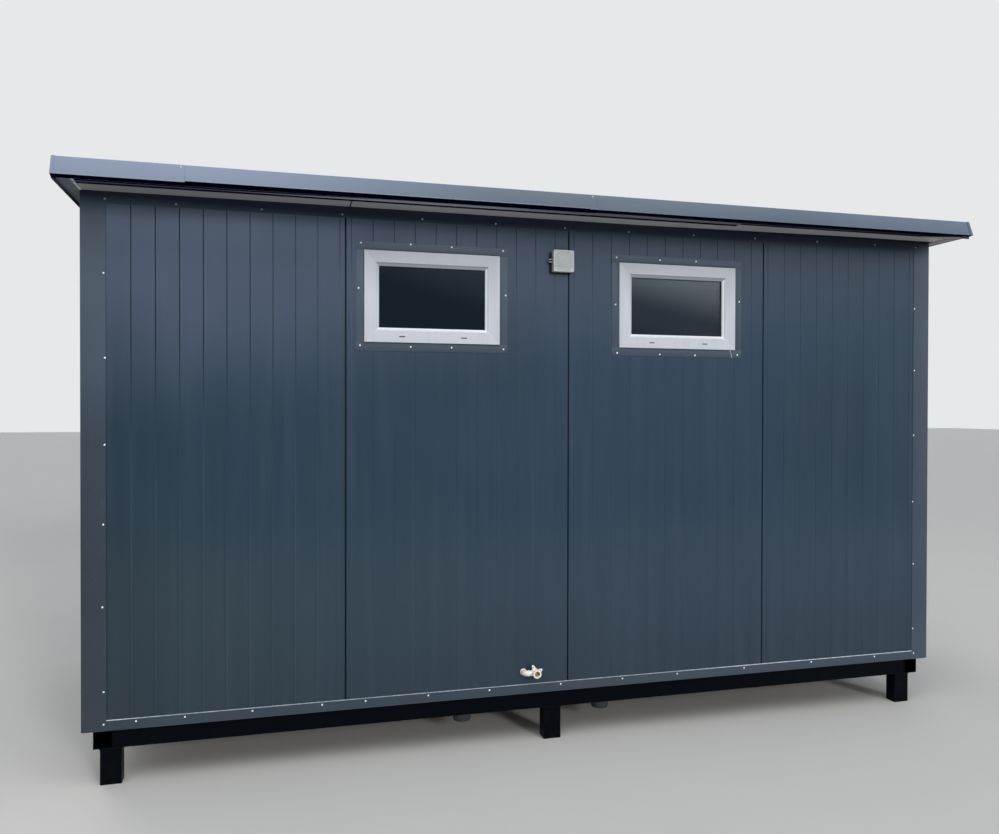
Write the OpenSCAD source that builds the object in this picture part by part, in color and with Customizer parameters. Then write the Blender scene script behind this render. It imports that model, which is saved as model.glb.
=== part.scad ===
// Portable site cabin: insulated panel walls on a raised steel base frame,
// flat overhanging roof with a leaning eaves fascia, two small high windows.
// Origin: ground level, centre of the plan. +X along the length, the window wall faces -Y.

/* [Cabin shell] */
// Length over the corner trims
cabin_l = 4390; // [4200:10:4800]
// Depth over the corner trims
cabin_d = 2000; // [1800:10:2400]
// Height of the walls from the top of the base frame to the roof panels
wall_h = 2338; // [2250:2:2700]
// Thickness of a wall panel
wall_t = 50; // [40:2:100]
// Cover width of a long wall panel
panel_w = 1100; // [1050:10:1150]
// Middle joint of the long walls, measured from the middle of the cabin
joint_shift = 36; // [0:1:60]

/* [Panel face] */
// Spacing of the fine grooves in the outer skin
groove_pitch = 100; // [90:5:120]
// Width of a groove
groove_w = 5; // [3:0.5:8]
// Depth of a groove
groove_dp = 1.5; // [0.5:0.5:3]
// Distance from a joint to the nearest groove on its wide side
groove_lead = 127; // [110:1:130]
// Width of the shadow gap at a panel joint
joint_gap = 8; // [4:1:12]
// Depth of the shadow gap
joint_dp = 12; // [6:1:20]

/* [Base frame] */
// Height of the feet
foot_h = 160; // [100:5:200]
// Width of a foot along the front
foot_w = 88; // [60:1:100]
// Depth of a foot from front to back
foot_d = 68; // [50:1:80]
// Height of the base tubes
rail_h = 100; // [80:5:140]
// Width of the base tubes
rail_w = 80; // [60:5:100]
// Wall thickness of the base tubes
rail_wall = 4; // [3:0.5:6]
// How far the front tube lies behind the wall face
rail_back = 32; // [20:1:40]
// How far the cross tubes lie inside the end walls
tube_in = 42; // [30:1:60]
// How far the left feet lie inside the end wall
foot_left_in = 70; // [50:1:120]
// How far the right feet lie inside the end wall
foot_right_in = 98; // [50:1:120]
// Middle feet, from the middle of the cabin
foot_mid_x = -35; // [-60:1:60]
// Number of floor joists
joist_n = 5; // [3:1:7]
// Width of a floor joist
joist_w = 50; // [40:5:60]
// Thickness of the insulated floor
floor_t = 60; // [40:5:100]

/* [Trims] */
// Thickness of the folded sheet
sheet_t = 2; // [1.5:0.5:3]
// Leg of a corner trim
corner_leg = 102; // [80:1:120]
// Height of the base trim
base_trim_h = 45; // [40:1:70]
// How far the base trim hangs below the wall
base_trim_drop = 12; // [8:1:20]
// Height of the trim under the roof
top_trim_h = 53; // [40:1:70]

/* [Windows] */
// Width of a window frame
window_w = 656; // [500:2:700]
// Height of a window frame
window_h = 431; // [350:1:600]
// Wall left above the windows
window_head = 197; // [120:1:400]
// Middle of the left window
window_1_x = -651; // [-680:1:-600]
// Middle of the right window
window_2_x = 635; // [550:1:680]
// Flat face of the window frame
frame_band = 58; // [50:1:70]
// Width of the glazing bead
bead_w = 12; // [8:1:16]
// How far the bead lies behind the frame face
bead_back = 10; // [5:1:15]
// How far the glass lies behind the frame face
glass_back = 27; // [20:1:32]
// Thickness of the double glazing
glass_t = 24; // [16:1:30]
// Depth of the window frame
frame_dp = 60; // [52:1:70]
// How far the window frame stands out of the wall
frame_out = 12; // [6:1:20]
// Border of the flashing plate around a window
plate_border = 41; // [30:1:48]

/* [Door] */
// Width of the door frame
door_w = 900; // [800:10:960]
// Wall left above the door
door_head = 205; // [120:5:300]
// Face width of the door frame
door_band = 60; // [40:5:80]
// Thickness of the door leaf
leaf_t = 40; // [30:2:48]
// Gap around the door leaf
leaf_gap = 4; // [3:0.5:6]
// Height of the handle above the door bottom
handle_z = 1000; // [900:10:1100]
// Length of a hinge barrel
hinge_l = 100; // [60:5:120]
// Diameter of a hinge barrel
hinge_d = 14; // [12:1:18]
// Length of the lever
lever_l = 120; // [100:5:140]
// Diameter of the lever
lever_d = 18; // [14:1:22]

/* [Roof] */
// Overhang of the roof at the front and back
eaves_out = 250; // [150:5:300]
// Overhang of the roof at the ends
verge_out = 60; // [50:2:120]
// Thickness of the roof panels between the ribs
roof_t = 60; // [50:2:80]
// Height of the ribs
rib_h = 17; // [10:1:30]
// Width of the foot of a rib
rib_foot = 60; // [50:2:70]
// Width of the crown of a rib
rib_crown = 30; // [20:2:40]
// Cover width of a roof panel
roof_panel_w = 1160; // [1120:10:1180]
// Middle roof joint, measured from the middle of the cabin
roof_shift = 115; // [0:5:200]
// How far the fascia leans out at its bottom
fascia_lean = 30; // [10:1:40]
// Depth of the shadow return under the fascia
fascia_return = 35; // [32:1:45]
// How far the drip lip hangs below the fascia
lip_drop = 8; // [4:1:12]
// Flange of the fascia under the roof panels
soffit_flange = 79; // [50:1:90]
// Flange of the fascia over the ribs
top_flange = 60; // [40:1:80]
// How far the left end fascia hangs below the roof panels
verge_drop_left = 15; // [3:1:20]
// How far the right end fascia hangs below the roof panels
verge_drop_right = 3; // [3:1:20]
// How far the flange of an end fascia lies over the end wall
verge_lap = 11; // [5:1:20]

/* [Fittings] */
// Size of the square junction box
box_w = 106; // [90:1:120]
// Depth of the junction box
box_dp = 38; // [30:1:60]
// Corner radius of the junction box
box_r = 5; // [3:1:8]
// Middle of the junction box along the wall
box_x = -2; // [-20:1:40]
// Middle of the junction box below the roof panels
box_down = 208; // [120:1:400]
// Diameter of the cable gland
gland_d = 15; // [10:1:20]
// Bore of the cable gland
gland_bore = 9; // [6:0.5:9]
// Length of the cable gland
gland_l = 20; // [15:1:30]
// Middle of the inlet mouth along the wall
inlet_x = -142; // [-200:1:-100]
// Middle of the inlet above the base frame
inlet_z = 98; // [80:1:200]
// Distance from the wall elbow to the mouth elbow
inlet_run = 55; // [45:1:75]
// Outer diameter of the inlet pipe
inlet_d = 33; // [28:1:36]
// Outer diameter of the inlet mouth
mouth_d = 42; // [40:1:48]
// Bore of the threaded mouth
mouth_bore = 20.9; // [18:0.1:26]
// Depth of the threaded mouth
mouth_dp = 16; // [12:1:20]
// How far the mouth stands out of the wall
mouth_out = 62; // [55:1:80]
// How far the inlet axis stands out of the wall
inlet_out = 32; // [28:1:36]
// Outer diameter of a drain pipe
drain_d = 90; // [75:5:110]
// Wall thickness of a drain pipe
drain_wall = 3; // [2:0.5:5]
// Diameter of the socket above a drain pipe end
drain_socket_d = 102; // [96:1:120]
// Height of the drain pipe ends above the ground
drain_z = 78; // [30:1:90]
// Length of a drain pipe end below its socket
drain_end_l = 90; // [60:5:100]
// Distance from the wall face to the drain pipes
drain_y = 200; // [180:10:260]
// Left drain pipe, from the middle of the cabin
drain_1_x = -463; // [-500:1:-440]
// Right drain pipe, from the middle of the cabin
drain_2_x = 286; // [230:1:300]

/* [Hidden] */

// Colours
anthracite = "#3E4854";
fascia_grey = "#6E7B8C";
steel_black = "#14181D";
frame_white = "#D8DCE2";
box_grey = "#A6ABAA";
pipe_grey = "#43464A";
inlet_cream = "#EFEBE4";
glass_grey = "#5C6B78";
roof_grey = "#5B646F";
floor_brown = "#77654F";
metal_grey = "#A9ADB1";

// Levels
base_top = foot_h + rail_h;
soffit_z = base_top + wall_h;
trim_bottom = base_top - base_trim_drop;
roof_top = soffit_z + roof_t + rib_h;
lip_z = soffit_z - lip_drop;

// Walls: the panel faces lie one sheet thickness inside the trims
wall_x = cabin_l / 2 - sheet_t;
wall_y = cabin_d / 2 - sheet_t;
inner_x = wall_x - wall_t;
inner_y = wall_y - wall_t;
joints = [-inner_x, joint_shift - panel_w, joint_shift, joint_shift + panel_w, inner_x];
end_top = soffit_z - sheet_t;

// Base frame
tube_x = cabin_l / 2 - tube_in - rail_w;
rail_y = cabin_d / 2 - rail_back - rail_w;
feet_x = [-cabin_l / 2 + foot_left_in, foot_mid_x - foot_w / 2, cabin_l / 2 - foot_right_in - foot_w];
feet_y = [-cabin_d / 2 + rail_back, cabin_d / 2 - rail_back - foot_d];

// Windows and door
windows_x = [window_1_x, window_2_x];
window_bottom = soffit_z - window_head - window_h;
door_x = joint_shift + panel_w / 2;
door_bottom = trim_bottom + base_trim_h;
door_h = soffit_z - door_head - door_bottom;
sill_h = base_top + floor_t - door_bottom;
frame_face = -wall_y - frame_out;
fit_gap = 0.3;

// Roof
eaves_y = cabin_d / 2 + eaves_out;
verge_x = cabin_l / 2 + verge_out;
roof_y = eaves_y - fascia_return;
roof_x = verge_x - sheet_t;
roof_joints = [
    -roof_x,
    roof_shift - roof_panel_w,
    roof_shift,
    roof_shift + roof_panel_w,
    roof_x
];
ribs_n = 4;
verge_flange = verge_out + verge_lap;

// A box from one corner to the opposite corner
module block(from, to) {
    translate(from) cube(to - from);
}

// A profile drawn in Y and Z, run along X from x0 to x1
module run_x(x0, x1) {
    translate([x0, 0, 0]) rotate([90, 0, 90]) linear_extrude(x1 - x0) children();
}

// A square tube along X with open ends
module tube_along_x(x0, x1, y, z) {
    difference() {
        block([x0, y, z], [x1, y + rail_w, z + rail_h]);
        block([x0 - 1, y + rail_wall, z + rail_wall], [x1 + 1, y + rail_w - rail_wall, z + rail_h - rail_wall]);
    }
}

// Base frame

module long_rail(y) {
    color(steel_black) tube_along_x(-tube_x, tube_x, y, foot_h);
}

module front_rail() {
    long_rail(-rail_y - rail_w);
}

module back_rail() {
    long_rail(rail_y);
}

module cross_tubes() {
    y1 = cabin_d / 2 - rail_back;
    for (x = [-tube_x - rail_w, tube_x])
        color(steel_black) difference() {
            block([x, -y1, foot_h], [x + rail_w, y1, base_top]);
            block(
                [x + rail_wall, -y1 - 1, foot_h + rail_wall],
                [x + rail_w - rail_wall, y1 + 1, base_top - rail_wall]
            );
        }
}

module floor_joists() {
    span = 2 * tube_x / (joist_n + 1);
    color(steel_black)
        for (i = [1 : joist_n])
            translate([-tube_x + i * span - joist_w / 2, -rail_y, foot_h + rail_wall])
                cube([joist_w, 2 * rail_y, rail_h - rail_wall]);
}

module feet() {
    color(steel_black)
        for (x = feet_x, y = feet_y)
            translate([x, y, 0]) cube([foot_w, foot_d, foot_h]);
}

module floor_deck() {
    color(floor_brown) difference() {
        block([-inner_x, -inner_y, base_top], [inner_x, inner_y, base_top + floor_t]);
        for (x = [drain_1_x, drain_2_x])
            translate([x, -cabin_d / 2 + drain_y, base_top - 1])
                cylinder(d = drain_socket_d, h = floor_t / 2 + 1, $fn = 48);
    }
}

module drain_pipes() {
    color(pipe_grey)
        for (x = [drain_1_x, drain_2_x])
            translate([x, -cabin_d / 2 + drain_y, drain_z]) difference() {
                union() {
                    cylinder(d = drain_d, h = drain_end_l + 1, $fn = 48);
                    translate([0, 0, drain_end_l])
                        cylinder(d = drain_socket_d, h = base_top + floor_t / 2 - drain_z - drain_end_l, $fn = 48);
                }
                translate([0, 0, -1])
                    cylinder(d = drain_d - 2 * drain_wall, h = base_top - drain_z + 1, $fn = 48);
            }
}

// Wall panels: the outer skin faces -Y, and x runs from x0 to x1

// Plan of one panel with its grooves and the shadow gap at its joints
module panel_plan(x0, x1, first_groove, gap_left, gap_right) {
    before = ceil((first_groove - x0) / groove_pitch);
    after = floor((x1 - first_groove) / groove_pitch);
    difference() {
        translate([x0, 0]) square([x1 - x0, wall_t]);
        for (i = [-before : after]) {
            x = first_groove + i * groove_pitch;
            if (x > x0 + joint_gap && x < x1 - joint_gap)
                translate([x, 0])
                    polygon([[-groove_w / 2, -1], [groove_w / 2, -1], [groove_w / 4, groove_dp], [-groove_w / 4, groove_dp]]);
        }
        if (gap_left) translate([x0 - 1, -1]) square([joint_gap / 2 + 1, joint_dp + 1]);
        if (gap_right) translate([x1 - joint_gap / 2, -1]) square([joint_gap / 2 + 1, joint_dp + 1]);
    }
}

// First groove of a long wall panel: the first panel is turned end for end
function lead_groove(i) = i == 0 ? joints[1] - groove_lead : joints[i] + groove_lead;

module long_panel(i, top) {
    color(anthracite) translate([0, -wall_y, base_top])
        linear_extrude(top - base_top)
            panel_plan(joints[i], joints[i + 1], lead_groove(i), i > 0, i < 3);
}

module window_hole(x) {
    block([x - window_w / 2, -wall_y - 1, window_bottom], [x + window_w / 2, -inner_y + 1, window_bottom + window_h]);
}

module front_wall_panel_1() {
    long_panel(0, soffit_z);
}

module front_wall_panel_2() {
    color(anthracite) difference() {
        long_panel(1, soffit_z);
        window_hole(window_1_x);
    }
}

module front_wall_panel_3() {
    color(anthracite) difference() {
        long_panel(2, soffit_z);
        window_hole(window_2_x);
    }
}

module front_wall_panel_4() {
    long_panel(3, soffit_z);
}

// The back wall is the front wall turned half round, without windows

module back_wall_panel_1() {
    mirror([0, 1, 0]) long_panel(0, soffit_z);
}

module back_wall_panel_2() {
    mirror([0, 1, 0]) long_panel(1, soffit_z);
}

module back_wall_panel_3() {
    color(anthracite) difference() {
        mirror([0, 1, 0]) long_panel(2, soffit_z);
        block([door_x - door_w / 2, inner_y - 1, door_bottom], [door_x + door_w / 2, wall_y + 1, door_bottom + door_h]);
    }
}

module back_wall_panel_4() {
    mirror([0, 1, 0]) long_panel(3, soffit_z);
}

// End walls run between the corners, with one joint in the middle

module end_panel(x0, x1, gap_left, gap_right) {
    color(anthracite) translate([0, -wall_x, base_top])
        linear_extrude(end_top - base_top)
            panel_plan(x0, x1, gap_left ? x0 + groove_lead : x1 - groove_lead, gap_left, gap_right);
}

module left_wall_panel_1() {
    rotate(-90) end_panel(0, wall_y, true, false);
}

module left_wall_panel_2() {
    rotate(-90) end_panel(-wall_y, 0, false, true);
}

module right_wall_panel_1() {
    rotate(90) end_panel(-wall_y, 0, false, true);
}

module right_wall_panel_2() {
    rotate(90) end_panel(0, wall_y, true, false);
}

// Trims

module corner_trim() {
    x = cabin_l / 2;
    y = cabin_d / 2;
    translate([0, 0, trim_bottom]) linear_extrude(end_top - trim_bottom)
        polygon([
            [x, -y], [x - corner_leg, -y], [x - corner_leg, -wall_y],
            [wall_x, -wall_y], [wall_x, -y + corner_leg], [x, -y + corner_leg]
        ]);
}

module front_corner_trims() {
    color(anthracite) {
        corner_trim();
        mirror([1, 0, 0]) corner_trim();
    }
}

module back_corner_trims() {
    color(anthracite) mirror([0, 1, 0]) {
        corner_trim();
        mirror([1, 0, 0]) corner_trim();
    }
}

// Section of the base trim: a face with a return to the base tube
module base_trim_section(face, tube) {
    polygon([
        [-face, trim_bottom + base_trim_h], [-face, trim_bottom], [-tube, trim_bottom],
        [-tube, trim_bottom + sheet_t], [-face + sheet_t, trim_bottom + sheet_t],
        [-face + sheet_t, trim_bottom + base_trim_h]
    ]);
}

module long_base_trim() {
    end = cabin_l / 2 - corner_leg;
    color(anthracite) run_x(-end, end)
        base_trim_section(cabin_d / 2, cabin_d / 2 - rail_back);
}

module front_base_trim() {
    long_base_trim();
}

module back_base_trim() {
    mirror([0, 1, 0]) long_base_trim();
}

module end_base_trims() {
    end = cabin_d / 2 - corner_leg;
    color(anthracite)
        for (turn = [90, -90])
            rotate(turn) run_x(-end, end)
                base_trim_section(cabin_l / 2, cabin_l / 2 - tube_in);
}

module top_trim(face, end, top) {
    color(anthracite)
        block([-end, -face, top - top_trim_h], [end, -face + sheet_t, top]);
}

module front_top_trim() {
    top_trim(cabin_d / 2, cabin_l / 2 - corner_leg, soffit_z);
}

module back_top_trim() {
    mirror([0, 1, 0]) top_trim(cabin_d / 2, cabin_l / 2 - corner_leg, soffit_z);
}

module end_top_trims() {
    for (turn = [90, -90])
        rotate(turn) top_trim(cabin_l / 2, cabin_d / 2 - corner_leg, end_top);
}

// Windows

module ring(x, half_w, half_h, band, y0, y1) {
    z = window_bottom + window_h / 2;
    difference() {
        block([x - half_w, y0, z - half_h], [x + half_w, y1, z + half_h]);
        block([x - half_w + band, y0 - 1, z - half_h + band], [x + half_w - band, y1 + 1, z + half_h - band]);
    }
}

module window_frame(x) {
    color(frame_white) {
        ring(x, window_w / 2, window_h / 2, frame_band, frame_face, frame_face + frame_dp);
        ring(x, window_w / 2 - frame_band, window_h / 2 - frame_band, bead_w, frame_face + bead_back, frame_face + glass_back);
    }
}

module window_frame_1() {
    window_frame(window_1_x);
}

module window_frame_2() {
    window_frame(window_2_x);
}

module window_glass() {
    half_w = window_w / 2 - frame_band - fit_gap;
    half_h = window_h / 2 - frame_band - fit_gap;
    z = window_bottom + window_h / 2;
    y = frame_face + glass_back;
    color(glass_grey)
        for (x = windows_x)
            block([x - half_w, y, z - half_h], [x + half_w, y + glass_t, z + half_h]);
}

module window_plate(x) {
    color(anthracite)
        ring(x, window_w / 2 + plate_border, window_h / 2 + plate_border, plate_border, -cabin_d / 2, -wall_y);
}

module window_plate_1() {
    window_plate(window_1_x);
}

module window_plate_2() {
    window_plate(window_2_x);
}

// Door in the back wall

module door_frame() {
    x = door_w / 2;
    color(anthracite) translate([door_x, 0, door_bottom])
        difference() {
            block([-x, inner_y, 0], [x, wall_y + sheet_t, door_h]);
            block([-x + door_band, inner_y - 1, sill_h], [x - door_band, wall_y + sheet_t + 1, door_h - door_band]);
        }
}

// The hinge barrels lie on the face of the frame and their tabs on the leaf
module door_leaf() {
    x = door_w / 2 - door_band - leaf_gap;
    z0 = sill_h + leaf_gap;
    z1 = door_h - door_band - leaf_gap;
    tab_w = 30;
    tab_t = 6;
    color(anthracite) translate([door_x, 0, door_bottom]) {
        block([-x, wall_y - leaf_t, z0], [x, wall_y, z1]);
        for (z = [z0 + hinge_l, (z0 + z1) / 2, z1 - 2 * hinge_l])
            translate([-x - leaf_gap / 2, wall_y, z]) {
                translate([0, sheet_t + fit_gap + hinge_d / 2, 0]) cylinder(d = hinge_d, h = hinge_l, $fn = 32);
                block([0, -fit_gap, 0], [tab_w, tab_t, hinge_l]);
            }
    }
}

module door_handle() {
    plate_w = 40;
    plate_h = 220;
    plate_t = 8;
    neck = 45;
    x = door_w / 2 - door_band - leaf_gap - plate_w;
    color(metal_grey) translate([door_x + x, wall_y, door_bottom + handle_z]) {
        block([-plate_w / 2, 0, -plate_h * 2 / 3], [plate_w / 2, plate_t, plate_h / 3]);
        rotate([-90, 0, 0]) cylinder(d = lever_d, h = neck, $fn = 32);
        translate([lever_d / 2, neck, 0]) rotate([0, -90, 0]) cylinder(d = lever_d, h = lever_l, $fn = 32);
    }
}

// Fittings on the front wall

module junction_box() {
    y = -wall_y - box_dp;
    z = soffit_z - box_down;
    half = box_w / 2;
    gland_y = -wall_y - box_dp / 2;
    color(box_grey) difference() {
        union() {
            translate([box_x, -wall_y, z]) rotate([90, 0, 0]) linear_extrude(box_dp)
                union() {
                    square([box_w - 2 * box_r, box_w], center = true);
                    square([box_w, box_w - 2 * box_r], center = true);
                    for (sx = [-1, 1], sz = [-1, 1])
                        translate([sx * (half - box_r), sz * (half - box_r)]) circle(r = box_r, $fn = 32);
                }
            translate([box_x - half + 1, gland_y, z]) rotate([0, -90, 0]) cylinder(d = gland_d, h = gland_l + 1, $fn = 32);
        }
        translate([box_x - half + 1, gland_y, z]) rotate([0, -90, 0]) cylinder(d = gland_bore, h = gland_l + 2, $fn = 32);
    }
}

module water_inlet() {
    z = base_top + inlet_z;
    axis_y = -wall_y - inlet_out;
    mouth_y = -wall_y - mouth_out;
    ear_t = 6;
    ear_w = 18;
    ear_l = 45;
    screw_d = 6;
    ear_turns = [-25, 60];
    color(inlet_cream) difference() {
        union() {
            // out of the wall
            translate([inlet_x - inlet_run, axis_y, z]) rotate([-90, 0, 0]) cylinder(d = inlet_d, h = inlet_out, $fn = 32);
            translate([inlet_x - inlet_run, axis_y, z]) sphere(d = inlet_d, $fn = 32);
            // along the wall
            translate([inlet_x - inlet_run, axis_y, z]) rotate([0, 90, 0]) cylinder(d = inlet_d, h = inlet_run, $fn = 32);
            // mouth
            translate([inlet_x, mouth_y, z]) rotate([-90, 0, 0]) cylinder(d = mouth_d, h = mouth_out - inlet_out / 2, $fn = 48);
            // ears with screw holes
            for (turn = ear_turns)
                translate([inlet_x, axis_y - mouth_d / 4, z]) rotate([0, turn, 0])
                    block([-ear_w / 2, 0, 0], [ear_w / 2, ear_t, ear_l]);
        }
        translate([inlet_x, mouth_y - 1, z]) rotate([-90, 0, 0]) cylinder(d = mouth_bore, h = mouth_dp + 1, $fn = 48);
        for (turn = ear_turns)
            translate([inlet_x, axis_y - mouth_d / 4 - 1, z]) rotate([0, turn, 0]) translate([0, 0, ear_l - ear_w / 2])
                rotate([-90, 0, 0]) cylinder(d = screw_d, h = ear_t + 2, $fn = 24);
    }
}

// Roof

module roof_panel(i) {
    x0 = roof_joints[i];
    x1 = roof_joints[i + 1];
    pitch = (x1 - x0) / ribs_n;
    z0 = soffit_z;
    z1 = soffit_z + roof_t;
    color(roof_grey) translate([0, roof_y, 0]) rotate([90, 0, 0]) linear_extrude(2 * roof_y)
        polygon(concat(
            [[x0, z1], [x0, z0], [x1, z0], [x1, z1]],
            [for (k = [ribs_n - 1 : -1 : 0], p = [
                [rib_foot / 2, z1], [rib_crown / 2, roof_top], [-rib_crown / 2, roof_top], [-rib_foot / 2, z1]
            ]) [x0 + (k + 0.5) * pitch + p[0], p[1]]]
        ));
}

module roof_panel_1() {
    roof_panel(0);
}

module roof_panel_2() {
    roof_panel(1);
}

module roof_panel_3() {
    roof_panel(2);
}

module roof_panel_4() {
    roof_panel(3);
}

// Folded eaves fascia: a flange over the ribs, the leaning face, the return and the flange below
module eaves_fascia() {
    t = sheet_t;
    top_y = eaves_y - fascia_lean;
    back_y = eaves_y - fascia_return;
    color(fascia_grey) run_x(-roof_x, roof_x)
        polygon([
            [-top_y + top_flange, roof_top], [-top_y + top_flange, roof_top + t],
            [-top_y, roof_top + t], [-eaves_y, soffit_z], [-back_y, lip_z],
            [-back_y + t, lip_z], [-back_y + t, soffit_z - t],
            [-back_y + soffit_flange, soffit_z - t], [-back_y + soffit_flange, soffit_z],
            [-back_y, soffit_z], [-back_y, lip_z + t], [-eaves_y + 1.2 * t, soffit_z + t / 2], [-top_y + t, roof_top]
        ]);
}

module front_fascia() {
    eaves_fascia();
}

module back_fascia() {
    mirror([0, 1, 0]) eaves_fascia();
}

// End fascia: a plate that closes the ends of the eaves, with flanges over and under the roof
module end_fascia(drop) {
    t = sheet_t;
    top_y = eaves_y - fascia_lean;
    flange_y = eaves_y - fascia_return - soffit_flange;
    color(fascia_grey) {
        translate([roof_x, 0, 0]) rotate([90, 0, 90]) linear_extrude(t)
            polygon([
                [-top_y, roof_top + t], [-eaves_y, soffit_z], [-eaves_y + fascia_return, soffit_z - drop],
                [eaves_y - fascia_return, soffit_z - drop], [eaves_y, soffit_z], [top_y, roof_top + t]
            ]);
        block([verge_x - verge_flange, -flange_y, soffit_z - t], [roof_x + t / 2, flange_y, soffit_z]);
        block([roof_x - top_flange, -top_y + top_flange, roof_top], [roof_x + t / 2, top_y - top_flange, roof_top + t]);
    }
}

module left_verge() {
    mirror([1, 0, 0]) end_fascia(verge_drop_left);
}

module right_verge() {
    end_fascia(verge_drop_right);
}

front_rail();
back_rail();
cross_tubes();
floor_joists();
feet();
floor_deck();
drain_pipes();
front_wall_panel_1();
front_wall_panel_2();
front_wall_panel_3();
front_wall_panel_4();
back_wall_panel_1();
back_wall_panel_2();
back_wall_panel_3();
back_wall_panel_4();
left_wall_panel_1();
left_wall_panel_2();
right_wall_panel_1();
right_wall_panel_2();
front_corner_trims();
back_corner_trims();
front_base_trim();
back_base_trim();
end_base_trims();
front_top_trim();
back_top_trim();
end_top_trims();
window_frame_1();
window_frame_2();
window_glass();
window_plate_1();
window_plate_2();
door_frame();
door_leaf();
door_handle();
junction_box();
water_inlet();
roof_panel_1();
roof_panel_2();
roof_panel_3();
roof_panel_4();
front_fascia();
back_fascia();
left_verge();
right_verge();
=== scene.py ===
import math

import bmesh
import bpy
from mathutils import Matrix, Vector, noise


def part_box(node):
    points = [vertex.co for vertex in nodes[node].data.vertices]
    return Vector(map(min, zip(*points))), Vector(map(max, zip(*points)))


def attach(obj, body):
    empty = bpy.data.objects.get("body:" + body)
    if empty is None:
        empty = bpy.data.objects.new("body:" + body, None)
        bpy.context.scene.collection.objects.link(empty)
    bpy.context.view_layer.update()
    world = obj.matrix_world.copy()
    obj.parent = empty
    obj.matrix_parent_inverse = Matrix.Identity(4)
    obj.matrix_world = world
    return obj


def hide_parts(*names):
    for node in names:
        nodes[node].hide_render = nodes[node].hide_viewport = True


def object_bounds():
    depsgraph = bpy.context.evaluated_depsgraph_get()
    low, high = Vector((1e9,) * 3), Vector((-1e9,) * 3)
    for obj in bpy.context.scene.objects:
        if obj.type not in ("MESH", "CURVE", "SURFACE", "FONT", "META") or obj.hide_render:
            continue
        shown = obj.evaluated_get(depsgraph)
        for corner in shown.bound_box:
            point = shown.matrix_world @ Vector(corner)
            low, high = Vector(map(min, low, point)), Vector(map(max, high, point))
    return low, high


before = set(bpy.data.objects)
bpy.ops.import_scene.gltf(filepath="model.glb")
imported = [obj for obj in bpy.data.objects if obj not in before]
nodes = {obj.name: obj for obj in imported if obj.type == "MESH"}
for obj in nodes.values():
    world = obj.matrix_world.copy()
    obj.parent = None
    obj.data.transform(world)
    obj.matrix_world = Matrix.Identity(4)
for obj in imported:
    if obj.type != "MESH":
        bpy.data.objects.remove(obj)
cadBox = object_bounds()
print("frame loaded,", len(nodes), "solids")

mm = 0.001

# Faces and levels read from the solids; distances are from the middle of the plan
trimFace = -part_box("front_top_trim")[0].y
panelFace = -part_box("front_wall_panel_1")[0].y
innerFace = -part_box("front_wall_panel_1")[1].y
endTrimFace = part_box("front_corner_trims")[1].x
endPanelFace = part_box("right_wall_panel_1")[1].x
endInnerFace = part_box("right_wall_panel_1")[0].x
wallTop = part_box("front_wall_panel_1")[1].z
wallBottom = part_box("front_base_trim")[0].z
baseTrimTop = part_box("front_base_trim")[1].z
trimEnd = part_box("front_base_trim")[1].x
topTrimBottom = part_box("front_top_trim")[0].z
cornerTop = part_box("front_corner_trims")[1].z
eavesEdge = cadBox[1].y
roofTop = cadBox[1].z
panTop = wallTop + 60 * mm  # the roof panels between their ribs
vergeInside = -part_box("front_fascia")[0].x


# Small shape helpers

def bevelEdges(bm, edges, size, segments=2):
    return bmesh.ops.bevel(
        bm, geom=list(edges), offset=size, offset_type="OFFSET", segments=segments,
        profile=0.5, affect="EDGES", material=-1, clamp_overlap=True,
    )["faces"]


def addPart(bm, part, place=None):  # a finished shape joins its piece
    mesh = bpy.data.meshes.new("part")
    part.to_mesh(mesh)
    part.free()
    if place:
        mesh.transform(place)
    bm.from_mesh(mesh)
    bpy.data.meshes.remove(mesh)


def span(edge):
    return edge.verts[0].co - edge.verts[1].co


def inMillimetres(pairs):
    return [(a * mm, b * mm) for a, b in pairs]


def turned(angle):  # from the front wall to another one
    return Matrix.Rotation(math.radians(angle), 4, "Z")


def placed(spot, angle=0, axis="Z"):
    return Matrix.Translation(spot) @ Matrix.Rotation(math.radians(angle), 4, axis)


def rawBlock(low, high):
    low, high = Vector(low), Vector(high)
    part = bmesh.new()
    size = Matrix.Diagonal((*(high - low), 1))
    bmesh.ops.create_cube(part, size=1, matrix=Matrix.Translation((low + high) / 2) @ size)
    return part


def softBlock(bm, low, high, edge, segments=2, place=None):  # a block with its edges eased
    part = rawBlock(low, high)
    bevelEdges(part, part.edges, edge, segments)
    addPart(bm, part, place)


def roundedCase(low, high, axis, corner, rim):  # moulded case: round corners along one axis, soft rims
    part = rawBlock(low, high)
    bevelEdges(part, [e for e in part.edges if abs(span(e)[axis]) > 1e-6], corner, 6)
    bevelEdges(part, [e for e in part.edges if abs(span(e)[axis]) < 1e-6], rim, 3)
    return part


def lathe(bm, profile, place, steps):  # (radius, height) pairs turned round the local Z axis
    part = bmesh.new()
    verts = [part.verts.new((radius, 0, height)) for radius, height in profile]
    edges = [part.edges.new(pair) for pair in zip(verts, verts[1:])]
    bmesh.ops.spin(
        part, geom=verts + edges, cent=(0, 0, 0), axis=(0, 0, 1), angle=2 * math.pi,
        steps=steps, use_merge=True, use_duplicate=False,
    )
    bmesh.ops.remove_doubles(part, verts=part.verts, dist=1e-6)
    addPart(bm, part, place)


def stamp(bm, template, places):  # copies of one small mesh, each at its own place
    for place in places:
        copy = template.copy()
        copy.transform(place)
        bm.from_mesh(copy)
        bpy.data.meshes.remove(copy)


def alongWall(u, v, along):  # a section's point on the front wall, u outwards and v upwards
    return Vector((along, -u, v))


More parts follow.
